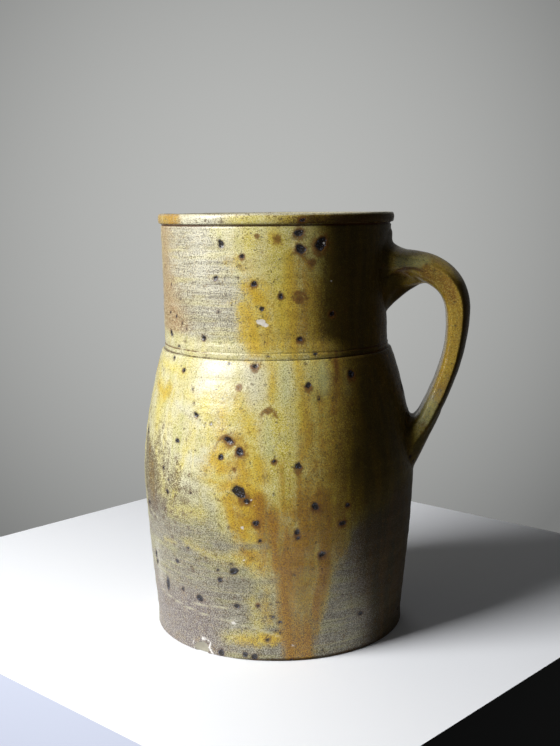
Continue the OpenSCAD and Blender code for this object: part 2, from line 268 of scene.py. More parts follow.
# Each stroke below is its strength, its softness in mm, and pixels x, y with a half width in mm.
# Runs of iron brown down the wall
RUST_RUNS = [
    (0.5, 12, [(149, 446, 3), (151, 472, 6), (153, 500, 4)]),
    (0.9, 22, [(272, 512, 4), (286, 540, 9), (300, 552, 10), (318, 522, 6)]),
    (0.55, 18, [(321, 420, 3), (322, 500, 6)]), (0.6, 18, [(310, 424, 3), (312, 470, 7), (308, 520, 9)]),
    (0.85, 12, [(306, 484, 3), (305, 512, 5), (306, 540, 5)]),
    (0.45, 14, [(236, 528, 4), (242, 552, 6), (262, 556, 6)]), (0.75, 16, [(337, 508, 4), (338, 552, 6)]),
    (0.8, 12, [(301, 482, 4), (300, 514, 6)]), (0.55, 12, [(301, 430, 2), (303, 500, 4)]),
    (0.6, 12, [(283, 465, 2), (284, 520, 4)]), (0.5, 14, [(262, 528, 3), (266, 560, 5), (272, 580, 4)]),
    (0.5, 10, [(290, 470, 1.6), (291, 520, 3)]), (0.95, 14, [(275, 548, 9), (298, 572, 12), (303, 606, 7)]),
    (0.6, 12, [(300, 600, 7), (302, 655, 7)]),
    (1, 10, [(259, 500, 4), (266, 520, 7), (272, 538, 8.5), (280, 556, 8), (284, 575, 5.5)]),
    (0.95, 9, [(283, 575, 5), (284, 603, 4.6), (287, 625, 4.2), (291, 655, 4)]),
    (0.95, 8, [(297, 560, 2), (300, 582, 2.4), (303, 595, 2.8), (306, 612, 3.4), (308, 656, 4)]),
    (0.75, 12, [(292, 580, 4), (296, 612, 6), (299, 650, 6)]),
    (0.95, 9, [(320, 498, 7), (322, 530, 7.5), (325, 548, 5.4), (324, 565, 5.4), (322, 585, 4.4)]),
    (0.95, 9, [(322, 585, 4.2), (316, 605, 5), (311, 625, 5), (309, 640, 5), (309, 656, 4.2)]),
    (0.55, 14, [(236, 514, 3), (252, 521, 5), (268, 520, 5)]),
    (0.8, 6, [(299, 470, 1), (300, 480, 1.4), (302, 490, 1.8), (303, 502, 2.2)]),
    (0.85, 8, [(335, 360, 2), (337, 376, 2.8), (336, 395, 2.8), (333, 412, 2.4)]),
    (0.45, 14, [(334, 412, 3), (332, 460, 5), (328, 498, 5)]), (0.4, 14, [(352, 382, 3), (352, 430, 5)]),
    (0.5, 10, [(318, 396, 2), (321, 412, 2.4)]), (0.6, 5, [(308, 389, 1.2), (309, 400, 0.8)]),
    (0.6, 8, [(252, 516, 1), (259, 521, 1.2)]),
    (0.85, 7, [(303, 257, 1.6), (307, 262, 2.2), (311, 268, 2)]), (0.5, 10, [(262, 334, 1), (266, 345, 1)]),
    (0.7, 11, [(301, 262, 2), (304, 290, 3), (304, 340, 2.4)]),
    (0.4, 14, [(309, 264, 3), (316, 290, 3.6), (323, 335, 4)]), (0.5, 10, [(299, 294, 3), (303, 312, 3)]),
]
# Fine brown lines, where a burst pit has drawn the iron out
BROWN_LINES = [
    (0.9, 3, [(294, 302, 0.5), (293, 297, 1), (297, 293, 1.4), (303, 293, 1.4), (307, 298, 1.2)]),
    (0.8, 2.2, [(273, 244, 0.4), (277, 239, 1), (282, 234, 0.4)]),
    (0.8, 2.2, [(273, 235, 0.4), (281, 243, 0.4)]),
    (1, 3.2, [(261, 417, 0.6), (264, 411, 1.2), (269, 409, 1.7), (274, 411, 1.3), (277, 417, 0.7)]),
    (0.6, 3, [(277, 417, 0.7), (279, 426, 0.5), (280, 440, 0.3)]),
    (0.5, 3, [(261, 417, 0.6), (260, 434, 0.3)]),
    (0.9, 3, [(213, 452, 0.5), (217, 443, 0.8), (223, 437, 1), (231, 433, 0.9)]),
    (0.6, 3, [(231, 433, 0.9), (240, 436, 0.7)]),
    (0.6, 3.4, [(240, 436, 0.7), (246, 443, 0.8), (248, 456, 0.8)]),
    (0.7, 3, [(335, 352, 1.2), (337, 380, 1.6)]), (0.6, 3, [(322, 508, 0.8), (320, 520, 0.5)]),
    (0.5, 3, [(343, 512, 0.8), (346, 524, 0.8), (338, 530, 0.6)]),
]
# Amber, where the glaze is thick
AMBER_AREAS = [
    (0.75, 12, [(258, 462, 4), (261, 478, 6)]), (0.4, 12, [(236, 260, 1.5), (246, 267, 4), (254, 274, 3)]),
    (1, 14, [(250, 287, 4.5), (258, 298, 5)]), (0.85, 14, [(248, 308, 4), (252, 328, 5.5), (256, 346, 6)]),
    (0.7, 16, [(262, 300, 5), (270, 342, 7)]), (0.45, 11, [(231, 262, 3.4), (246, 268, 4.4)]),
    (0.7, 11, [(242, 306, 3.4), (246, 338, 4.4)]),
    (0.5, 18, [(262, 290, 8), (272, 310, 12), (278, 340, 13)]), (0.2, 15, [(255, 238, 3), (264, 256, 4)]),
    (0.7, 12, [(274, 234, 4), (277, 243, 3)]), (0.85, 16, [(291, 258, 4), (294, 300, 7), (296, 345, 8)]),
    (0.85, 18, [(316, 290, 9), (322, 345, 10)]), (0.5, 7, [(226, 262, 1.2), (237, 258, 1.8)]),
    (0.4, 7, [(222, 304, 1), (238, 302, 1.8)]), (0.6, 14, [(282, 300, 5), (282, 345, 6)]),
    # The stroke at (210, 392)-(232, 398) is a painted shade that keeps the shoulder's highlight from
    # spreading lower.
    (0.35, 16, [(210, 392, 4), (232, 398, 5)]), (0.6, 14, [(221, 404, 3), (222, 430, 5), (220, 456, 4)]),
    (0.45, 16, [(236, 400, 4), (250, 430, 8)]), (0.65, 9, [(248, 362, 1.5), (259, 366, 2)]),
    (0.6, 8, [(270, 361, 2.2), (273, 380, 2.6), (271, 400, 2)]),
    (0.8, 10, [(298, 361, 2.4), (302, 385, 3), (306, 410, 4), (308, 440, 4.4), (303, 456, 3)]),
    (0.95, 12, [(214, 458, 3.4), (222, 469, 4.6), (240, 464, 5), (246, 475, 5)]),
    (0.85, 14, [(206, 470, 3), (219, 448, 3), (238, 440, 5), (245, 456, 5)]),
    (1, 10, [(230, 500, 5), (246, 508, 6)]),
    (1, 11, [(222, 488, 3.2), (240, 482, 5), (258, 500, 6), (252, 520, 6), (240, 522, 5.5)]),
    (1, 9, [(224, 498, 2.6), (232, 512, 5), (236, 525, 4.4), (246, 536, 3.4)]),
    (0.75, 7, [(198, 477, 0.9), (210, 481, 1.4), (224, 484, 1.8)]),
    (0.7, 7, [(236, 556, 1.2), (242, 558, 1.4)]), (0.6, 14, [(250, 548, 5), (262, 566, 7)]),
    (0.9, 8, [(244, 550, 2.2), (252, 557, 3), (248, 563, 2)]), (0.7, 10, [(240, 640, 2.6), (256, 642, 3)]),
    (0.7, 10, [(268, 588, 1.6), (266, 606, 3), (268, 622, 3)]), (0.6, 16, [(324, 420, 5), (328, 500, 7)]),
    (1, 9, [(262, 638, 2.4), (272, 640, 3.8), (280, 636, 2.4)]), (0.5, 9, [(234, 404, 2), (246, 395, 1.5)]),
    (0.65, 10, [(290, 506, 5), (303, 530, 4), (301, 552, 3)]), (0.6, 12, [(238, 536, 4), (262, 540, 5)]),
    (0.5, 9, [(238, 390, 1.5), (243, 398, 2)]), (0.7, 14, [(158, 384, 3), (164, 394, 4), (170, 388, 3)]),
]
# Yellow, where it is thinner
YELLOW_AREAS = [
    (0.4, 18, [(221, 392, 8), (222, 408, 8)]), (0.6, 16, [(289, 392, 6), (292, 418, 8)]),
    (0.7, 16, [(250, 236, 7), (256, 280, 6)]), (1.1, 16, [(278, 240, 8), (283, 280, 8), (285, 320, 9)]),
    (0.7, 14, [(160, 366, 4), (162, 392, 6), (158, 412, 5), (156, 430, 4)]),
    (0.75, 18, [(204, 400, 5), (210, 436, 6)]), (0.6, 16, [(262, 500, 4), (275, 530, 6)]),
    (0.8, 12, [(164, 362, 3), (184, 372, 3)]), (0.8, 14, [(188, 395, 2), (206, 402, 4)]),
    (0.8, 16, [(215, 405, 3), (232, 418, 6), (238, 408, 5)]), (0.8, 12, [(240, 388, 2.4), (243, 398, 2.4)]),
    (0.8, 16, [(210, 486, 4), (222, 500, 4)]), (0.7, 12, [(186, 542, 1.4), (212, 556, 2.4), (240, 560, 4)]),
    (0.7, 12, [(228, 638, 3), (250, 636, 4)]), (0.7, 14, [(252, 600, 3), (262, 640, 4)]),
    (0.5, 14, [(158, 430, 5), (157, 460, 6), (162, 490, 7)]), (0.8, 18, [(250, 420, 6), (254, 470, 8)]),
    (1.1, 20, [(276, 415, 7), (282, 450, 11), (282, 500, 9)]), (1, 16, [(300, 400, 5), (305, 445, 7)]),
    (0.8, 18, [(222, 452, 6), (218, 478, 6)]), (0.6, 14, [(170, 508, 5), (200, 514, 5)]),
    (0.7, 6, [(164, 538, 1), (176, 543, 1)]), (0.7, 8, [(195, 430, 2), (178, 470, 3), (172, 500, 3)]),
]
# Thin greenish milk, where the glaze runs over the ochre
GREEN_STREAKS = [
    (0.8, 10, [(284, 364, 2.4), (286, 385, 3.2), (285, 402, 2.4)]),
    (0.85, 10, [(322, 364, 2.4), (324, 380, 3.8), (324, 392, 2.4)]),
    (0.8, 10, [(268, 421, 1.8), (268, 436, 3), (270, 452, 3.4)]), (0.5, 10, [(272, 440, 4), (284, 438, 4)]),
    (0.5, 11, [(276, 480, 3.4), (274, 494, 3), (277, 504, 1.6)]),
    (0.9, 5, [(297, 517, 0.7), (298, 531, 1.3)]), (0.8, 7, [(308, 543, 2.6), (317, 545, 2.6)]),
    (0.5, 8, [(308, 552, 2.4), (305, 566, 1.6)]),
    (0.5, 9, [(291, 582, 1.2), (292, 600, 2), (294, 614, 1.4)]),
    (0.35, 13, [(276, 248, 3.4), (280, 262, 3.8), (279, 275, 2.4)]),
    (0.5, 10, [(247, 228, 2), (285, 231, 3)]), (0.5, 8, [(263, 332, 1.4), (264, 344, 1.4)]),
    (0.5, 9, [(345, 372, 2), (349, 392, 3)]), (0.55, 10, [(301, 438, 3), (298, 452, 3)]),
    (0.6, 6, [(297, 541, 0.8), (297, 549, 0.6)]),
]
# Chalky ash, where the glaze is dry and pale, and two painted highlights on the shoulder
CHALK_AND_HIGHLIGHT_AREAS = [
    (0.6, 14, [(157, 545, 4), (161, 576, 5)]), (0.35, 14, [(247, 254, 5), (252, 268, 5)]),
    # The stroke at (252, 366)-(256, 394) is a painted highlight of the key light.
    (0.4, 16, [(186, 426, 5), (190, 442, 5)]), (0.75, 18, [(252, 366, 8), (256, 394, 7)]),
    (0.5, 10, [(288, 366, 3), (288, 392, 3)]), (0.6, 14, [(196, 236, 6), (202, 262, 8), (204, 276, 5)]),
    (0.7, 11, [(176, 404, 2), (188, 412, 3.4), (197, 421, 3)]),
    (0.6, 9, [(172, 455, 1.6), (204, 461, 2.2)]),
    (0.6, 9, [(168, 480, 1.2), (190, 484, 2.6), (212, 490, 2)]), (0.6, 12, [(202, 378, 4), (198, 394, 4)]),
    # The stroke at (205, 366)-(228, 372) is a painted highlight of the key light.
    (0.35, 9, [(178, 344, 1.6), (212, 349, 2.6), (243, 352, 2)]), (0.6, 12, [(205, 366, 5), (228, 372, 5)]),
    (0.5, 8, [(234, 467, 1.4), (236, 478, 1.4)]),
    (0.5, 4, [(170, 260, 0.8), (200, 261, 1), (226, 259, 0.8)]),
    (0.4, 4, [(172, 304, 0.8), (204, 306, 1), (230, 303, 0.8)]), (0.6, 8, [(233, 624, 2.6), (236, 620, 2)]),
    (0.55, 7, [(286, 646, 2.6), (294, 646, 2.2)]), (0.5, 8, [(255, 546, 2.2), (242, 545, 2)]),
]
# Grey bands wiped through the glaze by the potter's fingers
GREY_BANDS = [
    (0.85, 5, [(215, 545, 1.4), (240, 547, 2.2), (266, 546, 2)]),
    (0.7, 6, [(232, 581, 1.4), (275, 581, 2)]), (0.3, 8, [(150, 520, 2.6), (160, 560, 3.4)]),
    (0.6, 6, [(262, 596, 2.4), (274, 596, 2.2)]), (0.5, 18, [(178, 294, 6), (196, 312, 10), (206, 332, 8)]),
    (0.35, 18, [(196, 486, 8), (214, 512, 8)]), (0.8, 6, [(178, 552, 1.8), (188, 551, 2.4)]),
    (0.7, 6, [(266, 651, 2.6), (282, 649, 2.2)]),
]
# Thin pale lines scratched while the clay was soft
PALE_LINES = [
    [(162, 588, 0.3), (180, 603, 0.35), (213, 617, 0.3), (232, 621, 0.2)],
    [(193, 603, 0.35), (210, 606, 0.45), (228, 608, 0.3)],
    [(241, 625, 0.3), (258, 629, 0.5), (281, 637, 0.4)], [(150, 508, 0.5), (157, 517, 0.4)],
]
# The scorched left flank
LEFT_SCORCH = [
    (0.95, 22, [(147, 440, 8), (149, 470, 18), (151, 500, 12)]),
    (0.3, 20, [(151, 376, 8), (149, 430, 12)]), (0.55, 26, [(158, 446, 14), (166, 486, 26)]),
]
# The chip knocked out of the foot: its middle, its width and height in mm, and its broken edges
CHIP = (203, 648, 11.0, 8.5)
CHIP_LEAN, CHIP_DEEP = 0.2, 1.7
CHIP_EDGES = [
    [(194, 640, 0.3), (196, 649, 0.25)], [(203, 638, 0.8), (207, 639, 0.5)],
    [(208, 640, 0.3), (211, 642, 0.4), (210, 647, 0.6), (214, 653, 0.6)],
]
# Where the ash glaze ends on the belly, and where it begins on the neck: pixels
GLAZE_EDGE = [
    (147, 472), (160, 488), (185, 502), (205, 512), (222, 535), (240, 560), (262, 582), (284, 600),
    (300, 610), (322, 600), (334, 560), (352, 530), (372, 505), (395, 480),
]
NECK_EDGE = [
    (206, 232), (222, 250), (229, 262), (236, 275), (240, 292), (237, 306), (243, 322), (240, 336),
]


# The far side: degrees from the front where its own spots lie, its paint's start and fade in radians
FAR_SPOTS = (62, 298)
FAR_START, FAR_FADE = 1.15, 0.45
DEEPEST_PIT = 0.9


def photo_spots(spots, depth_share):
    """Spots of the photograph's side, with a depth that follows their size."""
    placed = []
    for px, py, wide, tall, *lean in spots:
        turn, z = on_jug(px, py)
        deep = min(depth_share * min(wide, tall), DEEPEST_PIT)
        placed.append((turn, z, wide, tall, math.radians(sum(lean)), deep))
    return placed


def far_side_spots(z_from, z_to, count, seed):
    """Spots of the same make, strewn over the side that the photograph doesn't show."""
    rng = np.random.default_rng(seed)
    placed = []
    for _ in range(count):
        turn = math.radians(rng.uniform(*FAR_SPOTS))
        size = 1.0 + 5.0 * rng.random() ** 3
        tall = size * rng.uniform(0.7, 1.2)
        turn = turn if turn < math.pi else turn - 2 * math.pi
        placed.append((turn, rng.uniform(z_from, z_to), size, tall, rng.uniform(-1, 1), 0.16 * size))
    return placed


def edge_along(turn, pixels, side):
    """Height against turn, or turn against height, of a line through photograph pixels."""
    places = [on_jug(px, py) for px, py in pixels]
    if side == "height":
        places.sort()
        return np.interp(turn, [p[0] for p in places], [p[1] for p in places])
    places.sort(key=lambda p: p[1])
    return np.interp(turn, [p[1] for p in places], [p[0] for p in places])


def paint(turn, z, points):
    """Every painted field of the wall, each from 0 to 1, at places on the unrolled wall."""
    fields = {}
    rough = wander(points, 1 / 22, 4, 3.1)
    drip = wander(np.stack([np.cos(turn) * 80 / 7, np.sin(turn) * 80 / 7, z / 70], 1), 1.0, 3, 5.7)
    far = ease((np.abs(turn) - FAR_START) / FAR_FADE)

    edge = edge_along(turn, GLAZE_EDGE, "height")
    edge = mix(edge, 92 + 26 * np.sin(2 * turn + 0.6), far) + 6 * drip
    on_belly = ease((z - edge) / (62 - 22 * ease((turn - 0.3) / 0.3)) + 0.5 + 0.16 * rough)
    neck_from = edge_along(z, NECK_EDGE, "turn") + 0.05 * rough
    on_neck = ease((turn - neck_from) / 0.3 + 0.5)
    on_neck = mix(on_neck, ease(0.7 + 0.5 * np.sin(2 * turn + 2.2) + 0.5 * drip + 0.4 * rough), far)
    low_neck = ease((NECK_Z + 9 + far * (14 * drip + 10 * rough) - z) / (9 + 18 * far) + 0.5)
    ash_neck = np.maximum(on_neck, 0.85 * low_neck)
    fields["ash"] = np.where(z < BELLY_H, on_belly, ash_neck)

    later = 0.1 * ease((z - 160) / 15)
    right = 0.8 * ease((turn - 0.12 - later) / 0.35) * fields["ash"] * (1 - far)
    amber = np.maximum(laid(turn, z, AMBER_AREAS), right)
    fields["amber"] = np.maximum(amber, far * ease(0.1 + 0.9 * drip + 0.5 * rough) * fields["ash"])

    yellow = 0.6 * ease((turn + 0.62) / 0.6) * fields["ash"]
    yellow = np.maximum(yellow, laid(turn, z, YELLOW_AREAS))
    fields["yellow"] = np.maximum(yellow, far * ease(0.5 + 0.8 * rough) * fields["ash"])

    far_runs = ease(1.6 * drip - 0.55 + 0.3 * rough) * ease((150 - z) / 60 + 0.4)
    fields["rust"] = np.maximum(laid(turn, z, RUST_RUNS), far * far_runs * (z < BELLY_H))
    fields["green"] = np.maximum(laid(turn, z, GREEN_STREAKS), far * ease(0.9 * rough - 0.25))
    fields["ochre"] = ease((turn - 0.02 - 1.3 * later) / 0.4) * fields["ash"] * (1 - 0.6 * far)
    fields["grey"] = laid(turn, z, GREY_BANDS)
    fields["chalk_and_highlight"] = laid(turn, z, CHALK_AND_HIGHLIGHT_AREAS)

    fields["line"] = laid(turn, z, [(1, 0.9, path) for path in PALE_LINES])
    fields["broken"] = laid(turn, z, [(1, 1.0, path) for path in CHIP_EDGES])
    rings = [(1, size * 1.1, [(px, py, size * 0.9)]) for px, py, size in BROWN_SPOTS]
    fields["halo"] = laid(turn, z, rings + BROWN_LINES)

    far_scorch = far * ease(1.4 * rough - 0.75) * (z < 140)
    fields["scorch"] = np.maximum(laid(turn, z, LEFT_SCORCH), far_scorch)
    # Painted shade over an olive-brown glaze: the right side darkens from these turns on, where the key
    # light leaves the wall, and a painted contact shade runs along the foot's front.
    heights = [20, 60, 120, 165, BELLY_H + 6, BELLY_H + 16]
    begin = np.interp(z, heights, [0.42, 0.18, 0.11, 0.2, 0.24, 0.16])
    spread = np.interp(z, heights, [0.56, 0.7, 0.56, 0.64, 0.56, 0.38])
    shade = ease((turn - begin) / spread) * (1 - ease((turn - 2.0) / 0.8))
    foot_contact_shade = ease((2.3 - z) / 1.1) * ease((turn + 0.5) / 0.5) * (1 - far)
    fields["olive_and_shade"] = np.maximum(np.where(turn > 0, shade, 0), foot_contact_shade)
    mauve = ease((56 - z) / 30 + 0.3 * rough) * ease((-0.2 - turn) / 0.45) * (1 - far)
    left_neck = ease((-1.08 + 0.24 * ease((238 - z) / 30) - turn) / 0.6 + 0.5)
    left_neck = left_neck * ease((z - NECK_Z - 4) / 8) * (1 - 0.6 * far)
    fields["mauve"] = np.maximum(mauve, 0.45 * far * ease((BELLY_H - z) / 30))
    fields["tan"] = np.maximum(left_neck, np.where(z > BELLY_H, 0.5 * far * ease(0.5 + rough), 0))
    return fields


# ---- the wall as a turned mesh -----------------------------------------------------
COLUMNS = 448
# The radius of the smallest ring round a pole
POLE_R = 0.9
OUTSIDE, INSIDE, UNDERSIDE = 0, 1, 2


def column_turns():
    """Turns round the wall, about twice as close together on the photograph's side."""
    fine = np.linspace(-math.pi, math.pi, 7201)
    weight = 1 + 1.1 * (1 - ease((np.abs(fine) - 1.45) / 0.5))
    total = np.concatenate([[0], np.cumsum((weight[1:] + weight[:-1]) / 2)])
    return np.interp(np.arange(COLUMNS) / COLUMNS * total[-1], total, fine)


def lay_fields(mesh, fields):
    """Gives the mesh its painted fields, for the glaze to read, and shades it smooth."""
    for key, value in fields.items():
        layer = mesh.attributes.new(key, "FLOAT", "POINT")
        layer.data.foreach_set("value", np.ascontiguousarray(value, dtype=np.float32))
    mesh.polygons.foreach_set("use_smooth", [True] * len(mesh.polygons))
    mesh.update()


def turned_piece(name, rows, pits, is_collar=False):
    """A closed mesh turned round the axis. rows are (r, z, part), from pole to pole or as a ring."""
    r, z, part = (np.repeat(column, COLUMNS) for column in zip(*rows))
    turn = np.tile(column_turns(), len(rows))
    r_new, z_new, fields = shape_wall(turn, r, z, part, pits, is_collar)
    angle = turn + FRONT
    points = np.stack([r_new * np.cos(angle), r_new * np.sin(angle), z_new], 1)
    count, wide = len(rows), COLUMNS
    i, j = np.meshgrid(np.arange(count - 1), np.arange(wide), indexing="ij")
    k = (j + 1) % wide
    quads = np.stack([i * wide + j, i * wide + k, (i + 1) * wide + k, (i + 1) * wide + j], -1)
    faces = quads.reshape(-1, 4).tolist()
    verts = points.tolist()
    pairs = [(a, (a + 1) % wide) for a in range(wide)]
    last = (count - 1) * wide
    if rows[0][0] == POLE_R:
        pole = len(verts)
        verts += [[0, 0, rows[0][1]], [0, 0, rows[-1][1]]]
        faces += [[pole, b, a] for a, b in pairs]
        faces += [[pole + 1, last + a, last + b] for a, b in pairs]
        fields = {key: np.append(value, [0.0, 0.0]) for key, value in fields.items()}
    else:
        faces += [[last + a, last + b, b, a] for a, b in pairs]
    mesh = bpy.data.meshes.new(name)
    mesh.from_pydata([[c * MM for c in v] for v in verts], [], faces)
    lay_fields(mesh, fields)
    return linked(name, mesh)


def arc(r, z, rr, rz, start, end, steps):
    """Places (r, z) on part of an ellipse round r and z, from one turn in degrees to another."""
    turns = np.radians(np.linspace(start, end, steps))
    return [(r + rr * math.cos(a), z + rz * math.sin(a)) for a in turns]


def belly_rows():
    """The belly's section from the underside's middle, up the outside and down to the floor."""
    foot = FOOT_R + FOOT_FLARE
    rows = [(r, 0.0, UNDERSIDE) for r in np.linspace(POLE_R, foot - FOOT_BEVEL - 0.6, 13)]
    bevel = arc(foot - FOOT_BEVEL, FOOT_BEVEL, FOOT_BEVEL, FOOT_BEVEL, -75, -10, 4)
    rows += [(r, z, OUTSIDE) for r, z in bevel]
    for z in np.linspace(FOOT_BEVEL + 0.4, BELLY_H - SEAM_BEVEL, 158):
        flare = FOOT_FLARE * max(1 - z / FOOT_FLARE_H, 0) ** 2
        rows.append((float(belly_wall(z)) + flare, z, OUTSIDE))
    rows += [(SHOULDER_R - SEAM_BEVEL, BELLY_H, OUTSIDE), (MOUTH_R, BELLY_H, INSIDE)]
    bend = FLOOR_T + FLOOR_ROUND
    for z in np.linspace(BELLY_H - 3, bend, 26):
        thick = mix(WALL_T, SHOULDER_R - MOUTH_R, ease((z - BELLY_Z) / (BELLY_H - BELLY_Z)))
        rows.append((float(belly_wall(z) - thick), z, INSIDE))
    corner = float(belly_wall(bend)) - WALL_T - FLOOR_ROUND
    rows += [(r, z, INSIDE) for r, z in arc(corner, bend, FLOOR_ROUND, FLOOR_ROUND, -10, -90, 8)]
    rows += [(r, FLOOR_T, INSIDE) for r in np.linspace(corner - 6, POLE_R, 8)]
    return rows


# How much of a box there is in the rolled rim's round section, below and above its middle
RIM_SQUARE_LOW, RIM_SQUARE_HIGH = 0.45, 0.2


def collar_rows():
    """The collar's section as a ring, from the seam up the outside and down the inside."""
    top = float(neck_wall(RIM_Z))
    rows = [(MOUTH_R, BELLY_H, INSIDE), (SHOULDER_R - SEAM_BEVEL, BELLY_H, OUTSIDE)]
    rows.append((NECK_R, BEAD_Z, OUTSIDE))
    bead = arc(NECK_R, BEAD_Z + BEAD_H / 2, BEAD_PROUD, BEAD_H / 2, -75, 75, 8)
    rows += [(r, z, OUTSIDE) for r, z in bead]
    rows.append((NECK_R - BEAD_LINE_D, BEAD_Z + BEAD_H, OUTSIDE))
    for z in np.linspace(NECK_Z, RIM_Z - RIM_LINE_H, 84):
        rows.append((float(neck_wall(z)), z, OUTSIDE))
    for deep, low in ((0.7, 0.72), (1, 0.5), (0.6, 0.2)):
        rows.append((top - RIM_LINE_D * deep, RIM_Z - RIM_LINE_H * low, OUTSIDE))
    for r, z in arc(top, RIM_Z + RIM_H / 2, RIM_PROUD, RIM_H / 2, -90, 90, 15):
        square = RIM_SQUARE_LOW if z < RIM_Z + RIM_H * 0.5 else RIM_SQUARE_HIGH
        rounded = (r - top) * (1 - square)
        boxed = RIM_PROUD * square * min((r - top) / RIM_PROUD * 2.2, 1)
        rows.append((top + rounded + boxed, z, OUTSIDE))
    lip = arc(top - NECK_T + RIM_ROUND, JUG_H - RIM_ROUND, RIM_ROUND, RIM_ROUND, 90, 180, 8)
    rows += [(r, z, INSIDE if k > 5 else OUTSIDE) for k, (r, z) in enumerate(lip)]
    for z in np.linspace(JUG_H - RIM_ROUND - 2, BELLY_H + 2, 24):
        rows.append((float(neck_wall(z)) - NECK_T, z, INSIDE))
    return rows


def hand_shift(turn, z):
    """The clay's slow lean to one side and back, as the hand left it."""
    along_handle = np.cos(turn + FRONT)
    swing = np.interp(z, [0, 60, 120, 170, 210, 262, 270], [0.0, 0.5, 0.75, 0.2, -0.6, 0.35, 0.45])
    return swing * along_handle


# Turns from the front, in radians, where one colour of the rim gives way to the next
RIM_ORANGE_END, RIM_CHALK_END, RIM_BROWN_FROM = -0.86, -0.44, 0.14


def dress_rim(fields, turn, z, lumps, rim):
    """The rim's own colours: orange at the left, chalky next to it, then ochre, then brown with painted
    shade, and a painted highlight along its top.
    """
    orange = ease((RIM_ORANGE_END - turn) / 0.16 + 0.5) * (turn > -1.75)
    chalky = ease((turn + 0.88) / 0.14 + 0.5) * ease((RIM_CHALK_END - turn) / 0.2 + 0.5)
    ochre = ease((turn + 0.42) / 0.3 + 0.5)
    brown = ease((turn - RIM_BROWN_FROM) / 0.42 + 0.5) * (turn < 1.9)
    looks = {
        "rust": 0.7 * orange + 0.3 * lumps * orange,
        "chalk_and_highlight": chalky,
        "amber": 0.45 * orange + (0.25 + 0.6 * lumps) * ochre + 0.6 * brown,
        "yellow": 0.6 * ochre + 0.3 * chalky,
        "ash": np.maximum(orange, np.maximum(chalky, ochre)),
        "scorch": 0.28 * chalky + 0.25 * ochre + 0.4 * brown + 0.3 * lumps,
        "olive_and_shade": np.maximum(0.75 * brown, fields["olive_and_shade"]),
    }
    looks.update(dict.fromkeys(("ochre", "tan", "green", "mauve"), 0.0))
    for key, value in looks.items():
        fields[key] = np.where(rim, value, fields[key])
    # A painted highlight along the rim's rounded top, where it catches the key light.
    upper = rim * ease((z - RIM_Z - RIM_H * 0.72) / 1.2)
    lip = {"chalk_and_highlight": 0.95, "scorch": 0.1, "olive_and_shade": 0.3, "amber": 0.2, "mauve": 0.35}
    for key, value in lip.items():
        fields[key] = mix(fields[key], value, upper)


# Millimetres from one throwing ring to the next: broad and fine ones outside, and those inside
RING_BROAD, RING_FINE, RING_INSIDE = 11.5, 4.3, 9.0
# Nothing is moved this near to the seam between belly and collar, in mm
SEAM_HELD = 0.3


def throwing_rings(z, turn, points):
    """Shallow rings left by the fingers, which drift a little round the wall."""
    drift = wander(points * np.array([1, 1, 0.4]), 1 / 60, 2, 9.2)
    broad = np.sin(z * 2 * math.pi / RING_BROAD + 2.4 * drift)
    fine = np.sin(z * 2 * math.pi / RING_FINE + 3.1 * drift + 0.5 * turn)
    return 0.07 * broad + 0.03 * fine


def worn_bead(turn, lumps):
    """Where the glaze has filled the lines beside the bead, from 0 to 1."""
    return ease(0.55 + 0.5 * np.cos(2.2 * (turn + 0.1)) + 0.5 * lumps)


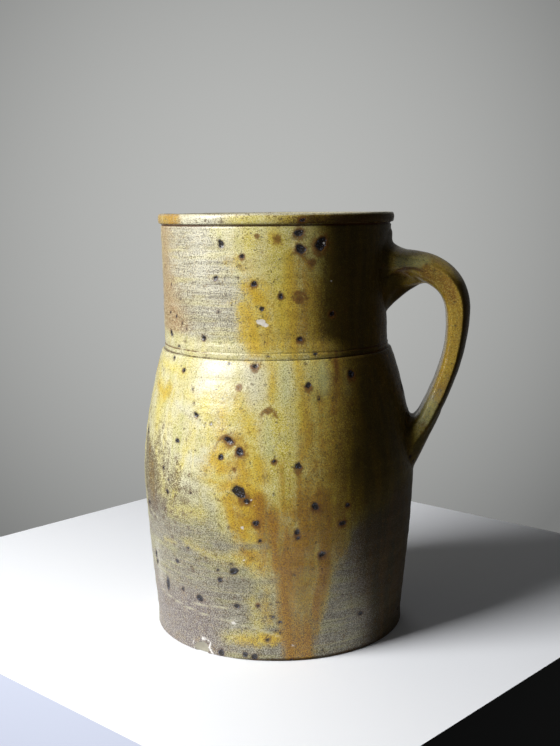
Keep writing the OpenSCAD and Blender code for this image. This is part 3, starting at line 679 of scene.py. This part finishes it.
def shape_wall(turn, r, z, part, pits, is_collar):
    """Where hand and fire moved each place of a turned wall to, and its painted fields."""
    angle = turn + FRONT
    points = np.stack([r * np.cos(angle), r * np.sin(angle), z], 1)
    outside = part == OUTSIDE
    fields = paint(turn, z, points)
    inside_d, sunk = spot_distance(turn, z, pits, 7)
    pale_and_glint_spots = [(*on_jug(px, py), wide, tall, 0.0, 0.25) for px, py, wide, tall in PALE_SPOTS_AND_GLINTS]
    pale_d, pale_sunk = spot_distance(turn, z, pale_and_glint_spots, 11)
    lumps = wander(points, 1 / 34, 3, 1.4)
    skin = wander(points, 1 / 3.2, 2, 4.4)
    rings = throwing_rings(z, turn, points)
    moved = 0.25 * lumps + 0.05 * skin + rings - sunk - 0.5 * pale_sunk
    moved += 0.2 * fields["rust"] * ease((150 - z) / 40) + 0.06 * fields["amber"]
    if is_collar:
        bead = (z > BEAD_Z - 0.5) & (z < NECK_Z) & outside
        worn = worn_bead(turn, lumps)
        hollowed = 0.3 * np.exp(-(((z - BEAD_Z - BEAD_H * 0.5) / 0.9) ** 2)) * (1 - worn)
        flatter = (0.45 + 0.4 * worn) * np.maximum(r - NECK_R, 0) + hollowed
        moved = np.where(bead, moved - flatter, moved)
        slope = 1.5 * (1 - (z - BELLY_H) / 11) * worn
        moved += np.where((z > BEAD_Z - 0.5) & (z < BELLY_H + 11) & outside, slope, 0)
        rim = (z > RIM_Z) & outside
        moved = np.where(rim, 0.2 * lumps + 0.12 * skin - 0.5 * sunk, moved)
        dress_rim(fields, turn, z, lumps, rim)
    else:
        fallen = 0.85 * worn_bead(turn, lumps) * np.clip((z - BELLY_H + 10) / 10, 0, 1) ** 2
        moved -= np.where(z < BELLY_H, fallen, 0)
        chip = [(*on_jug(*CHIP[:2]), *CHIP[2:], CHIP_LEAN, CHIP_DEEP)]
        chip_d, chip_sunk = spot_distance(turn, z, chip, 3)
        moved -= chip_sunk * (0.8 + 0.5 * skin)
        fields["chip"] = np.where(outside, chip_d, NO_SPOT)
    hollow = 0.3 * np.sin(z * 2 * math.pi / RING_INSIDE + turn) + 0.2 * lumps
    moved = np.where(outside, moved, np.where(part == INSIDE, hollow, 0.0))
    moved = np.where(np.abs(z - BELLY_H) < SEAM_HELD, 0.0, moved)
    r_new = r + moved * (r > 20) + hand_shift(turn, z)
    floor_rise = np.where((part == INSIDE) & (z < FLOOR_T + 1), 0.35 * np.sin(r * 0.7 + turn), 0.0)
    z_new = z + floor_rise
    if is_collar:
        rim_top = ease((z - RIM_Z - RIM_H * 0.4) / (RIM_H * 0.6))
        z_new -= rim_top * (0.25 + 0.25 * lumps)
    fields["iron"] = np.where(outside, inside_d, NO_SPOT)
    fields["pale"] = np.where(outside, pale_d, NO_SPOT)
    fields["lining"] = (part == INSIDE).astype(float)
    fields["under"] = (part == UNDERSIDE).astype(float)
    fields["comb"] = ease((z - NECK_Z) / 4) * ease((RIM_Z - 3 - z) / 4) * (1 - 0.8 * fields["amber"])
    fields["crease"] = np.where(outside, crease_of(z, turn, lumps), 0.0)
    return r_new, z_new, fields


def crease_of(z, turn, lumps):
    """Painted shade in the lines cut under the rim and beside the bead."""
    under_rim = np.exp(-(((z - RIM_Z + RIM_LINE_H * 0.45) / 0.6) ** 2))
    below_bead = np.exp(-(((z - BELLY_H - 0.5) / 0.5) ** 2))
    above_bead = np.exp(-(((z - NECK_Z + 0.7) / 0.5) ** 2))
    filled = 0.3 + 0.6 * ease(np.abs(turn + 0.1) / 0.55 - 0.5) + 0.6 * lumps
    broken = 0.5 + 0.5 * np.sin(turn * 61 + 9 * lumps) * ease(1.2 - np.abs(turn + 0.1))
    filled = np.clip(filled, 0, 1) * np.clip(0.4 + broken, 0, 1)
    return np.clip(under_rim + filled * (0.95 * below_bead + 0.8 * above_bead), 0, 1)


# ---- materials ----------------------------------------------------------------------
def rgb(*levels):
    """A colour given as sRGB from 0 to 255, in linear light."""
    parts = [level / 255 for level in levels]
    return (*[c / 12.92 if c <= 0.04045 else ((c + 0.055) / 1.055) ** 2.4 for c in parts], 1.0)


class Graph:
    """Short names for the shader nodes that a material or the world is built from."""

    def __init__(self, owner):
        owner.use_nodes = True
        self.tree = owner.node_tree
        self.tree.nodes.clear()
        self.place = self.node("TexCoord", {}).outputs

    def node(self, kind, inputs, **settings):
        """A new node with its settings and inputs. An input is a plain value, the output
        of another node, or the name of a painted field."""
        made = self.tree.nodes.new("ShaderNode" + kind)
        for key, value in settings.items():
            setattr(made, key, value)
        for key, value in inputs.items():
            if isinstance(value, str):
                value = self.field(value)
            if isinstance(value, bpy.types.NodeSocket):
                self.tree.links.new(value, made.inputs[key])
            else:
                made.inputs[key].default_value = value
        return made

    def field(self, name):
        settings = {"attribute_type": "GEOMETRY", "attribute_name": name}
        return self.node("Attribute", {}, **settings).outputs["Fac"]

    def grain(self, per_metre, detail, stretch=(1, 1, 1), seed=0.0, rough=0.55):
        moved = (seed, seed * 0.7, -seed)
        where = self.node("Mapping", {"Vector": self.place["Object"], "Scale": stretch, "Location": moved})
        return self.node("TexNoise", {
            "Vector": where.outputs["Vector"], "Scale": per_metre, "Detail": detail, "Roughness": rough,
        }).outputs["Fac"]

    def math(self, how, a, b=0.0, c=0.0):
        return self.node("Math", {0: a, 1: b, 2: c}, operation=how).outputs["Value"]

    def times(self, a, b, plus=None):
        """a times b, and plus a third where there is one."""
        if plus is None:
            return self.math("MULTIPLY", a, b)
        return self.math("MULTIPLY_ADD", a, b, plus)

    def step(self, value, low, high, to_high=1.0, to_low=0.0):
        """A soft step from to_low to to_high, as the value goes from low to high."""
        ends = {"From Min": low, "From Max": high, "To Min": to_low, "To Max": to_high}
        made = self.node("MapRange", {"Value": value, **ends}, interpolation_type="SMOOTHSTEP")
        return made.outputs["Result"]

    def blend(self, k, a, b):
        """Colour a, and b where k is 1."""
        return self.node("Mix", {0: k, 6: a, 7: b}, data_type="RGBA").outputs[2]

    def shaken(self, field, jitter, amount):
        """A field moved up and down by grain that lies about 0.5."""
        return self.times(self.math("SUBTRACT", jitter, 0.5), amount, field)

    def torn(self, field, jitter, amount, width):
        """A field from 0 to 1 turned into a patch whose edge is broken up by grain."""
        return self.step(self.shaken(field, jitter, amount), 0.5 - width, 0.5 + width)

    def shade(self, looks):
        """Ends a material with a shader that has these looks."""
        shader = self.node("BsdfPrincipled", looks)
        self.node("OutputMaterial", {"Surface": shader.outputs["BSDF"]})


CREAM = rgb(208, 199, 138)
PALE_CREAM = rgb(218, 213, 176)
CHALK_AND_HIGHLIGHT = rgb(216, 214, 198)
SEA_GREEN = rgb(190, 187, 112)
MILK_GREEN = rgb(204, 206, 146)
YELLOW = rgb(220, 202, 84)
LIGHT_YELLOW = rgb(226, 208, 110)
OCHRE = rgb(190, 174, 72)
GREEN_OCHRE = rgb(150, 154, 84)
BROWN_OCHRE = rgb(150, 102, 40)
AMBER = rgb(206, 168, 52)
DEEP_AMBER = rgb(180, 134, 38)
RUST = rgb(136, 94, 44)
LIGHT_RUST = rgb(170, 122, 42)
DARK_RUST = rgb(84, 48, 22)
GREY_CLAY = rgb(136, 132, 117)
COOL_GREY = rgb(110, 107, 98)
MOSS_CLAY = rgb(158, 156, 104)
NECK_CLAY = rgb(188, 184, 168)
NECK_SHADE = rgb(144, 139, 126)
MAUVE = rgb(112, 102, 106)
TAN = rgb(156, 124, 88)
SCORCH = rgb(70, 45, 28)
OLIVE_SHADE = rgb(36, 32, 22)
UMBER = rgb(60, 42, 22)
IRON = rgb(30, 26, 26)
IRON_GLINT_BLUE = rgb(98, 104, 120)
SPECK = rgb(78, 66, 40)
WHITE = rgb(224, 220, 214)
CHIP_GREY = rgb(152, 147, 130)
LINING = rgb(150, 116, 62)
LINING_DARK = rgb(98, 70, 38)
BARE_CLAY = rgb(150, 132, 114)
# The fine relief's strength and its depth in mm, and the glaze's index of refraction
RELIEF, RELIEF_DEPTH, GLAZE_IOR = 0.55, 0.4, 1.5


def glaze(name, is_collar=False, is_handle=False):
    """The fired surface: clay, ash and glazes laid one over the other where the fields say."""
    material = bpy.data.materials.new(name)
    g = Graph(material)
    dust = g.grain(1600, 2.0, seed=0.3, rough=0.75)
    salt = g.grain(1050, 3.0, seed=1.1, rough=0.7)
    freckle = g.grain(420, 1.0, seed=2.7, rough=0.4)
    mottle = g.grain(240, 4.0, seed=3.9)
    cloud = g.grain(48, 4.0, seed=5.2)
    streak = g.grain(150, 4.0, stretch=(1, 1, 0.1), seed=7.3)
    sweep = g.grain(170, 3.0, stretch=(0.12, 0.12, 1), seed=6.6)
    comb = g.grain(900, 3.0, stretch=(0.02, 0.02, 1), seed=8.8, rough=0.7)
    crumb = g.times(mottle, 0.25, g.times(dust, 0.38, -0.08))
    crumb = g.times(salt, 0.53, crumb)

    # Bare clay, then ash, ochre, chalk with painted highlights, amber, green milk, rust, wiped bands,
    # painted shade and scorch
    bare = g.blend(g.step(mottle, 0.35, 0.65), GREY_CLAY, COOL_GREY)
    if is_collar:
        clay = g.blend(g.step(comb, 0.42, 0.58), NECK_SHADE, NECK_CLAY)
        clay = g.blend(g.step(sweep, 0.5, 0.66, 0.7), clay, CREAM)
    else:
        clay = g.blend(g.step(sweep, 0.47, 0.62, 0.75), bare, MOSS_CLAY)
        clay = g.blend(g.step(comb, 0.48, 0.36, 0.42), clay, SPECK)
        clay = g.blend(g.step(comb, 0.54, 0.66, 0.35), clay, CREAM)
    clay = g.blend(g.torn("mauve", crumb, 1.6, 0.45), clay, MAUVE)
    # The bare clay turns mauve under the painted shade as well.
    clay = g.blend(g.times(g.step("olive_and_shade", 0.1, 0.7), 0.6), clay, MAUVE)
    clay = g.blend(g.torn("tan", crumb, 1.6, 0.45), clay, TAN)
    if not is_collar:
        veil = g.times(g.step("ash", 0.0, 0.5), 0.55)
        clay = g.blend(veil, clay, MOSS_CLAY)
    ash = g.blend(g.step(cloud, 0.4, 0.62), CREAM, PALE_CREAM)
    ash = g.blend(g.step(streak, 0.5, 0.72, 0.8), ash, SEA_GREEN)
    ash = g.blend(g.step(streak, 0.48, 0.3, 0.6), ash, YELLOW)
    colour = g.blend(g.torn("ash", crumb, 2.1, 0.5), clay, ash)
    colour = g.blend(g.torn("yellow", crumb, 1.8, 0.5), colour, YELLOW)
    ochre = g.times(g.torn("ochre", crumb, 1.4, 0.55), 0.7)
    vein = g.blend(g.step(streak, 0.5, 0.58), OCHRE, GREEN_OCHRE)
    vein = g.blend(g.step(streak, 0.49, 0.4), vein, BROWN_OCHRE)
    colour = g.blend(ochre, colour, vein)
    colour = g.blend(g.times(g.torn("chalk_and_highlight", crumb, 2.0, 0.5), 0.8), colour, CHALK_AND_HIGHLIGHT)
    amber = g.blend(g.step(streak, 0.36, 0.6), DEEP_AMBER, AMBER)
    thick = g.times("amber", g.step(streak, 0.32, 0.6, 1.1, to_low=0.7))
    thick = g.torn(thick, crumb, 1.9, 0.5)
    colour = g.blend(thick, colour, amber)
    colour = g.blend(g.times(g.torn("green", crumb, 1.8, 0.5), 0.85), colour, MILK_GREEN)
    rust = g.blend(g.step(crumb, 0.38, 0.62), RUST, LIGHT_RUST)
    rust = g.blend(g.step(streak, 0.5, 0.4, 0.4), rust, DARK_RUST)
    washed = g.times("rust", g.step(streak, 0.36, 0.6, 1.15, to_low=0.65))
    washed = g.torn(washed, crumb, 1.7, 0.55)
    colour = g.blend(washed, colour, rust)
    colour = g.blend(g.times(g.torn("grey", crumb, 2.0, 0.45), 0.85), colour, bare)
    # Painted shade, with the olive-brown glaze, laid over the colour where the field says.
    olive_and_shade = g.blend(g.step(streak, 0.4, 0.62), OLIVE_SHADE, UMBER)
    shade = g.times(g.torn("olive_and_shade", crumb, 0.8, 0.5), 0.92)
    colour = g.blend(shade, colour, olive_and_shade)
    burnt = g.times(mottle, 0.5, g.times(salt, 0.5))
    scorch = g.torn("scorch", burnt, 3.2, 0.25)
    colour = g.blend(g.times(scorch, 0.85), colour, SCORCH)

    # Dark and pale grain, weaker on the smooth glazes
    smooth = g.math("MAXIMUM", g.math("MAXIMUM", thick, washed), g.times(ochre, 0.9))
    specks = g.step(dust, 0.49, 0.38, 0.95)
    pepper = g.times(specks, g.times(smooth, -0.1, 1.0))
    pepper = g.times(pepper, g.times("ash", -0.3, 1.0))
    colour = g.blend(pepper, colour, SPECK)
    freckles = g.step(freckle, 0.69, 0.74, 0.7)
    colour = g.blend(freckles, colour, SPECK)
    dark = g.math("MAXIMUM", g.times(shade, 0.95), g.times(smooth, 0.3))
    glints = g.times(g.step(dust, 0.51, 0.61, 0.75), g.math("SUBTRACT", 1.0, dark))
    glint = g.blend(g.step("ochre", 0.0, 0.5), PALE_CREAM, LIGHT_YELLOW)
    if not is_collar:
        glint = g.blend(g.step("ash", 0.5, 0.1), glint, NECK_CLAY)
    glint = g.blend(g.step(thick, 0.15, 0.7), glint, YELLOW)
    glint = g.blend(g.step(washed, 0.15, 0.7), glint, AMBER)
    colour = g.blend(glints, colour, glint)
    if is_handle:
        colour = g.blend(g.step(salt, 0.46, 0.34, 0.35), colour, UMBER)
        lit = g.math("SUBTRACT", 1.0, "olive_and_shade")
        colour = g.blend(g.times(g.step(salt, 0.51, 0.63, 0.6), lit), colour, LIGHT_YELLOW)
    # Brown rings, scratched lines and painted shade in the grooves
    halo = g.times(g.torn("halo", burnt, 2.6, 0.42), 0.85)
    colour = g.blend(halo, colour, g.blend(g.step(salt, 0.4, 0.6), DARK_RUST, RUST))
    colour = g.blend(g.times("line", 0.5), colour, PALE_CREAM)
    groove_shade = g.times(g.torn("crease", crumb, 1.8, 0.35), 0.92)
    colour = g.blend(groove_shade, colour, DARK_RUST)

    # Iron spots with painted blue glints, burst spots with some painted white glints, and the chip
    ragged = g.shaken("iron", burnt, 3.0)
    colour = g.blend(g.step(ragged, -1.1, -0.1, 0.4), colour, DARK_RUST)
    iron = g.step(ragged, -0.1, 0.4, 0.95)
    iron_and_glints = g.blend(g.step(salt, 0.55, 0.62), IRON, IRON_GLINT_BLUE)
    colour = g.blend(iron, colour, iron_and_glints)
    burst_and_glints = g.step(g.shaken("pale", burnt, 2.6), -0.1, 0.35)
    colour = g.blend(g.times(burst_and_glints, 0.85), colour, WHITE)
    if not is_collar and not is_handle:
        edge = g.shaken("chip", crumb, 3.0)
        colour = g.blend(g.step(edge, -0.3, 0.4), colour, CHIP_GREY)
        colour = g.blend(g.torn("broken", crumb, 1.4, 0.3), colour, WHITE)
    # The lining and the underside
    lining = g.blend(g.step(cloud, 0.4, 0.6), LINING, LINING_DARK)
    lining = g.blend(specks, lining, SPECK)
    colour = g.blend("lining", colour, lining)
    colour = g.blend("under", colour, g.blend(g.step(mottle, 0.4, 0.6), BARE_CLAY, COOL_GREY))

    gloss = g.step("ash", 0.2, 0.8, 0.27, to_low=0.44)
    gloss = g.shaken(gloss, mottle, 0.3)
    gloss = g.times(iron, -0.14, gloss)
    gloss = g.times(burst_and_glints, 0.25, gloss)
    gloss = g.times("under", 0.45, gloss)

    height = g.times(salt, 0.5, g.times(g.grain(1100, 1.0, seed=4.4), 0.35))
    height = g.times(mottle, 0.5, height)
    height = g.times(g.times(comb, "comb"), 0.9, height)
    bump = g.node("Bump", {"Strength": RELIEF, "Distance": RELIEF_DEPTH * MM, "Height": height})
    dull = g.times(g.step("olive_and_shade", 0.0, 0.8), -0.48, 0.5)
    g.shade({
        "Base Color": colour, "Roughness": gloss, "Normal": bump.outputs["Normal"],
        "IOR": GLAZE_IOR, "Specular IOR Level": dull,
    })
    return material


# ---- the belly and the collar -------------------------------------------------------
belly_pits = photo_spots(BELLY_PITS + FOOT_PITS, 0.15) + far_side_spots(4, 180, 120, 21)
collar_pits = photo_spots(NECK_PITS, 0.13) + far_side_spots(192, 268, 42, 22)
belly = turned_piece("glazed_belly", belly_rows(), belly_pits)
collar = turned_piece("glazed_collar", collar_rows(), collar_pits, is_collar=True)
belly.data.materials.append(glaze("salt_glaze_belly"))
collar.data.materials.append(glaze("salt_glaze_collar", is_collar=True))

# ---- the handle: strap and wads worked into one, and wiped on to the wall ------------
STRAP_PATCHES = {
    "green": [[(400, 262, 4), (424, 262, 4)], [(432, 405, 4), (424, 418, 4)]],
    "rust": [[(428, 272, 5), (446, 284, 5), (452, 300, 4)], [(383, 276, 3), (405, 272, 3)]],
    # The pale strokes are painted light: they brighten the strap's lit lower face and its top.
    "chalk_and_highlight": [[(450, 362, 3), (440, 384, 4.4), (426, 410, 5)], [(405, 258, 3), (420, 262, 3)]],
}
# Where clay is worked on to the wall, at the root and at the tail: from z, to z, turn to either side
WORKED_PATCHES = ((204.0, 261.0, 0.62), (84.0, 156.0, 0.52))
# The sheet's two depths under the wall in mm, and how far round its clay stands proud, in radians
PATCH_DEPTHS = (0.9, 3.6)
PATCH_MOUND = 0.26
STRAP_VOXEL = 0.8


def strap_stroke(points, path, soft):
    """A soft line through pixels of the strap, right through it from its near side."""
    spots = [(*on_strap(px, py), half) for px, py, half in path]
    return soft_line(points[:, 0], points[:, 2], spots, soft)


def worked_up(z):
    """How far the clay above the root and below the tail stands proud of the wall."""
    above = ease((262 - z) / 5) * ease((z - 232) / 10)
    below = ease((z - 92) / 16) * ease((150 - z) / 10)
    return float(2.4 * above + 2.2 * below)


def wall_patch(start, z_from, z_to, reach):
    """A sheet just under the wall's skin, which the strap's ends are worked into."""
    wide, high = 36, 30
    verts, faces = [], []
    for depth in PATCH_DEPTHS:
        for z in np.linspace(z_from, z_to, high):
            for a in np.linspace(-reach, reach, wide):
                mound = worked_up(z) * math.exp(-((a / PATCH_MOUND) ** 2))
                proud = mound if depth == PATCH_DEPTHS[0] else 0
                r = float(wall_r(np.array(z))) - depth + proud
                verts.append((r * math.cos(a) * MM, r * math.sin(a) * MM, z * MM))
    under = wide * high
    for i in range(high - 1):
        for j in range(wide - 1):
            k = start + i * wide + j
            faces += [(k, k + 1, k + wide + 1, k + wide)]
            faces += [(k + under + wide, k + under + wide + 1, k + under + 1, k + under)]
    rim = [(0, j) for j in range(wide)] + [(i, wide - 1) for i in range(1, high)]
    rim += [(high - 1, j) for j in range(wide - 2, -1, -1)] + [(i, 0) for i in range(high - 2, 0, -1)]
    ring = [start + i * wide + j for i, j in rim]
    for p, q in zip(ring, ring[1:] + ring[:1]):
        faces.append((p + under, q + under, q, p))
    return verts, faces


# Creases narrower than twice this, in mm, are filled up in the strap's skin
CREASE_FILL = 1.3
# The web of clay pressed under the root: pixels of its outline, and its half width in mm
ROOT_WEB = [(381, 313), (387, 310), (394, 303), (401, 297), (408, 291), (418, 285), (428, 280)]
ROOT_WEB += [(428, 272), (384, 270)]
ROOT_WEB_HALF = 15.0
# A crease left where the strap was folded on to the neck, and nicks in its inner edge
STRAP_CREASE = [(383, 277, 0.6), (395, 272, 0.9), (405, 268, 1.1), (414, 268, 1), (425, 272, 0.5)]
STRAP_NICKS = [(435, 373, 1.3), (434, 376, 0.9), (427, 393, 1.1), (433, 372, 1)]


def web_mesh(start):
    """The web as a loft across the strap, rounded off towards both sides."""
    corners = [on_strap(px, py, 0.0) for px, py in ROOT_WEB]
    x0, z0 = corners[-1]
    count, slices = len(corners), 15
    verts, faces = [], []
    for i in range(slices):
        across = math.sin(math.pi * (i / (slices - 1) - 0.5)) * 0.995
        size = math.sqrt(1 - across**2)
        y = across * ROOT_WEB_HALF
        for x, z in corners:
            verts.append(((x0 + (x - x0) * size) * MM, y * MM, (z0 + (z - z0) * size) * MM))
    for i in range(slices - 1):
        for j in range(count):
            a, b = start + i * count + j, start + i * count + (j + 1) % count
            faces.append((a, a + count, b + count, b))
    faces.append(tuple(start + j for j in range(count)))
    faces.append(tuple(start + len(verts) - 1 - j for j in range(count)))
    return verts, faces


def loose_strap():
    """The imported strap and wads, the worked clay and the web, as one loose mesh."""
    joined, faces = [], []
    for node in ("handle", "upper_join_wad", "lower_join_wad"):
        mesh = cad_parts[node].data
        start = len(joined)
        joined += [tuple(v.co) for v in mesh.vertices]
        faces += [[start + k for k in p.vertices] for p in mesh.polygons]
    for z_from, z_to, reach in WORKED_PATCHES:
        verts, patch = wall_patch(len(joined), z_from, z_to, reach)
        joined += verts
        faces += patch
    verts, web = web_mesh(len(joined))
    joined += verts
    faces += web
    raw = bpy.data.meshes.new("strap")
    raw.from_pydata(joined, [], faces)
    return raw


def add_voxels(piece, name):
    again = piece.modifiers.new(name, "REMESH")
    again.mode = "VOXEL"
    again.voxel_size = STRAP_VOXEL * MM


def one_skin(raw):
    """The loose mesh made one skin of voxels, with its creases filled and its edges softened."""
    piece = linked("glazed_handle", raw)
    add_voxels(piece, "first")
    for name, strength in (("swell", CREASE_FILL), ("shrink", -CREASE_FILL)):
        shift = piece.modifiers.new(name, "DISPLACE")
        shift.strength = strength * MM
        shift.mid_level = 0.0
        add_voxels(piece, "after " + name)
        smooth = piece.modifiers.new("smooth " + name, "SMOOTH")
        smooth.factor = 0.5
        smooth.iterations = 6
    graph = bpy.context.evaluated_depsgraph_get()
    mesh = bpy.data.meshes.new_from_object(piece.evaluated_get(graph))
    piece.modifiers.clear()
    piece.data = mesh
    bpy.data.meshes.remove(raw)
    return piece


def strap_piece():
    """The strap and its wads in one skin, with the marks of the hand, and painted."""
    piece = one_skin(loose_strap())
    mesh = piece.data
    count = len(mesh.vertices)
    points, normal = np.empty((2, count * 3))
    mesh.vertices.foreach_get("co", points)
    mesh.vertex_normals.foreach_get("vector", normal)
    points, normal = points.reshape(-1, 3) / MM, normal.reshape(-1, 3)
    x, y, z = points.T
    gap = np.hypot(x, y) - wall_r(np.clip(z, 0, JUG_H))
    lumps = wander(points, 1 / 26, 3, 6.1)
    skin = wander(points, 1 / 3.4, 2, 2.2)
    off_wall = np.clip(gap / 4, 0, 1)
    near_side = ease((-2 - y) / 4)
    fold = strap_stroke(points, STRAP_CREASE, 1.6) * near_side
    nicks = np.full(count, NO_SPOT)
    for px, py, size in STRAP_NICKS:
        x0, z0 = on_strap(px, py)
        away = np.hypot(x - x0, z - z0)
        nicks = np.maximum(nicks, np.where(near_side > 0, size - away, NO_SPOT))
    lift = (0.3 * lumps + 0.06 * skin) * off_wall - 0.8 * fold - 0.5 * ease(nicks / 0.8)
    moved = points + normal * lift[:, None]
    mesh.vertices.foreach_set("co", (moved * MM).ravel())
    lay_fields(mesh, strap_fields(points, normal, gap, fold, nicks))
    return piece


def strap_fields(points, normal, gap, fold, nicks):
    """The painted fields of the strap, which go over into the wall's own where it joins the wall."""
    count = len(points)
    x, y, z = points.T
    rough = wander(points, 1 / 18, 4, 8.0)
    fields = {"ash": np.full(count, 1.0), "yellow": ease(0.6 + 0.5 * rough)}
    fields["amber"] = ease(0.85 - 0.5 * rough) * mix(0.45, 1.0, ease((z - 134) / 40))
    for key, paths in STRAP_PATCHES.items():
        fields[key] = np.max([strap_stroke(points, path, 7.0) for path in paths], 0)
    fields["chalk_and_highlight"] *= 0.95
    golden = ease((226 - z) / 14) * ease((z - 126) / 40)
    fields["rust"] = np.maximum(fields["rust"], (0.42 + 0.3 * rough) * golden)
    fields["ochre"] = ease(0.4 - rough)
    near_wall = ease((10 + 8 * ease((y + 2) / 6) - gap) / 9)
    fields["olive_and_shade"] = ease(0.15 + 0.5 * rough) * 0.3
    fields["scorch"] = ease(rough * 1.4 - 0.6)
    # The fold is painted brown too, a painted shade in its crease.
    fields["halo"] = np.maximum(ease(rough * 1.8 - 0.7), fold)
    rng = np.random.default_rng(5)
    iron = nicks
    for k in rng.integers(0, count, 46):
        size = 0.5 + 1.6 * rng.random() ** 3
        iron = np.maximum(iron, size - np.linalg.norm(points - points[k], axis=1))
    fields["iron"] = np.clip(iron, NO_SPOT, -NO_SPOT)
    turn = np.arctan2(y, x) - FRONT
    turn = (turn + math.pi) % (2 * math.pi) - math.pi
    for key, value in paint(turn, z, points).items():
        fields[key] = mix(fields.get(key, np.zeros(count)), value, near_wall)
    # Painted shade on the strap's outer face, which turns away from the key light.
    outer_face_shade = ease((normal[:, 0] * 0.9 - 0.1) / 0.35) * ease((0.8 - normal[:, 2]) / 0.5)
    fields["olive_and_shade"] = np.maximum(fields["olive_and_shade"], outer_face_shade * ease(gap / 4))
    for key in ("lining", "under", "comb", "crease"):
        fields[key] = np.zeros(count)
    fields["pale"] = np.full(count, NO_SPOT)
    return fields


handle = strap_piece()
handle.data.materials.append(glaze("salt_glaze_handle", is_handle=True))

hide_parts("belly")
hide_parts("neck_collar")
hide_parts("handle", "upper_join_wad", "lower_join_wad")
for piece in (belly, collar, handle):
    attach(piece, "root")

# ---- the floor, the lamps and the backdrop ---------------------------------------------
PLINTH_SIDE = 468.0
PLINTH_MIDDLE = (-18.0, 76.0)
PLINTH_TURN = math.radians(54)
PLINTH_DEEP = 90.0
# How much nearer the slab comes to the eye than half its side
PLINTH_NEARER = 5.0
# The slab is white; its sides carry painted shade, half shaded on one side and dark on the others.
PAINTS = {"white_paint": (246, 248, 252), "half_shaded_side": (206, 212, 230), "shaded_side": (14, 14, 15)}
# The slab's faces, as corners and as the paint of each
SLAB_FACES = [(3, 2, 1, 0), (4, 5, 6, 7), (0, 1, 5, 4), (1, 2, 6, 5), (2, 3, 7, 6), (3, 0, 4, 7)]
SLAB_PAINTS = (2, 0, 2, 2, 2, 1)


def plain(name, colour, roughness):
    material = bpy.data.materials.new(name)
    Graph(material).shade({"Base Color": colour, "Roughness": roughness, "Specular IOR Level": 0.1})
    return material


half = PLINTH_SIDE / 2
near = half + PLINTH_NEARER
outline = ((-half, -near), (half, -near), (half, half), (-half, half))
corners = [(x * MM, y * MM, z * MM) for z in (-PLINTH_DEEP, 0) for x, y in outline]
slab = bpy.data.meshes.new("floor")
slab.from_pydata(corners, [], SLAB_FACES)
floor = linked("floor", slab)
floor.location = (PLINTH_MIDDLE[0] * MM, PLINTH_MIDDLE[1] * MM, 0)
floor.rotation_euler[2] = PLINTH_TURN
for paint_name, levels in PAINTS.items():
    slab.materials.append(plain(paint_name, rgb(*levels), 0.6))
for face, paint_index in zip(slab.polygons, SLAB_PAINTS):
    face.material_index = paint_index

# The height that every lamp points to, in metres
LAMP_AIM = 0.14


def lamp(name, towards, distance, wide, tall, level):
    """A soft box whose light gives a surface that faces it this level of its own colour."""
    data = bpy.data.lights.new(name, "AREA")
    data.shape = "RECTANGLE"
    data.size, data.size_y = wide, tall
    data.energy = level * math.pi**2 * distance**2
    light = linked(name, data)
    aim = Vector((0, 0, LAMP_AIM))
    where = (Matrix.Rotation(HANDLE_TURN, 3, "Z") @ Vector(towards)).normalized()
    light.location = aim + where * distance
    light.rotation_mode = "QUATERNION"
    light.rotation_quaternion = where.to_track_quat("Z", "Y")
    light.visible_camera = False
    return light


lamp("key", (-0.737, -0.417, 0.53), distance=1.0, wide=0.48, tall=0.6, level=1.7)
lamp("fill", (0.45, -0.8, 0.35), distance=1.6, wide=1.2, tall=1.2, level=0.01)
behind = lamp("behind", (-0.12, 0.98, 0.1), distance=1.5, wide=0.6, tall=0.6, level=0.12)
behind.visible_glossy = False

# The backdrop's colour is a painted pool of light: palest towards this pixel, and darkest from where a
# direction's cosine falls to this
PALEST_AT, DARK_FROM = (255, 230), 0.93
AMBIENT = 0.04
BACKDROP_DARK, BACKDROP_PALE = rgb(120, 121, 120), rgb(185, 186, 184)
world = bpy.data.worlds.new("world")
bpy.context.scene.world = world
sky = Graph(world)
palest = sight(*PALEST_AT).normalized()
facing = sky.node("VectorMath", {0: sky.place["Generated"], 1: palest}, operation="DOT_PRODUCT")
fall = sky.node("MapRange", {"Value": facing.outputs["Value"], "From Min": DARK_FROM})
seen = sky.node("Background", {"Color": sky.blend(fall.outputs["Result"], BACKDROP_DARK, BACKDROP_PALE)})
lit = sky.node("Background", {"Color": (1, 1, 1, 1), "Strength": AMBIENT})
rays = sky.node("LightPath", {}).outputs
shows = rays["Is Camera Ray"]
for ray in ("Is Glossy Ray", "Is Transmission Ray"):
    shows = sky.math("MAXIMUM", shows, rays[ray])
shown = sky.node("MixShader", {0: shows, 1: lit.outputs[0], 2: seen.outputs[0]})
sky.node("OutputWorld", {"Surface": shown.outputs[0]})
bpy.context.scene.view_settings.view_transform = "Standard"
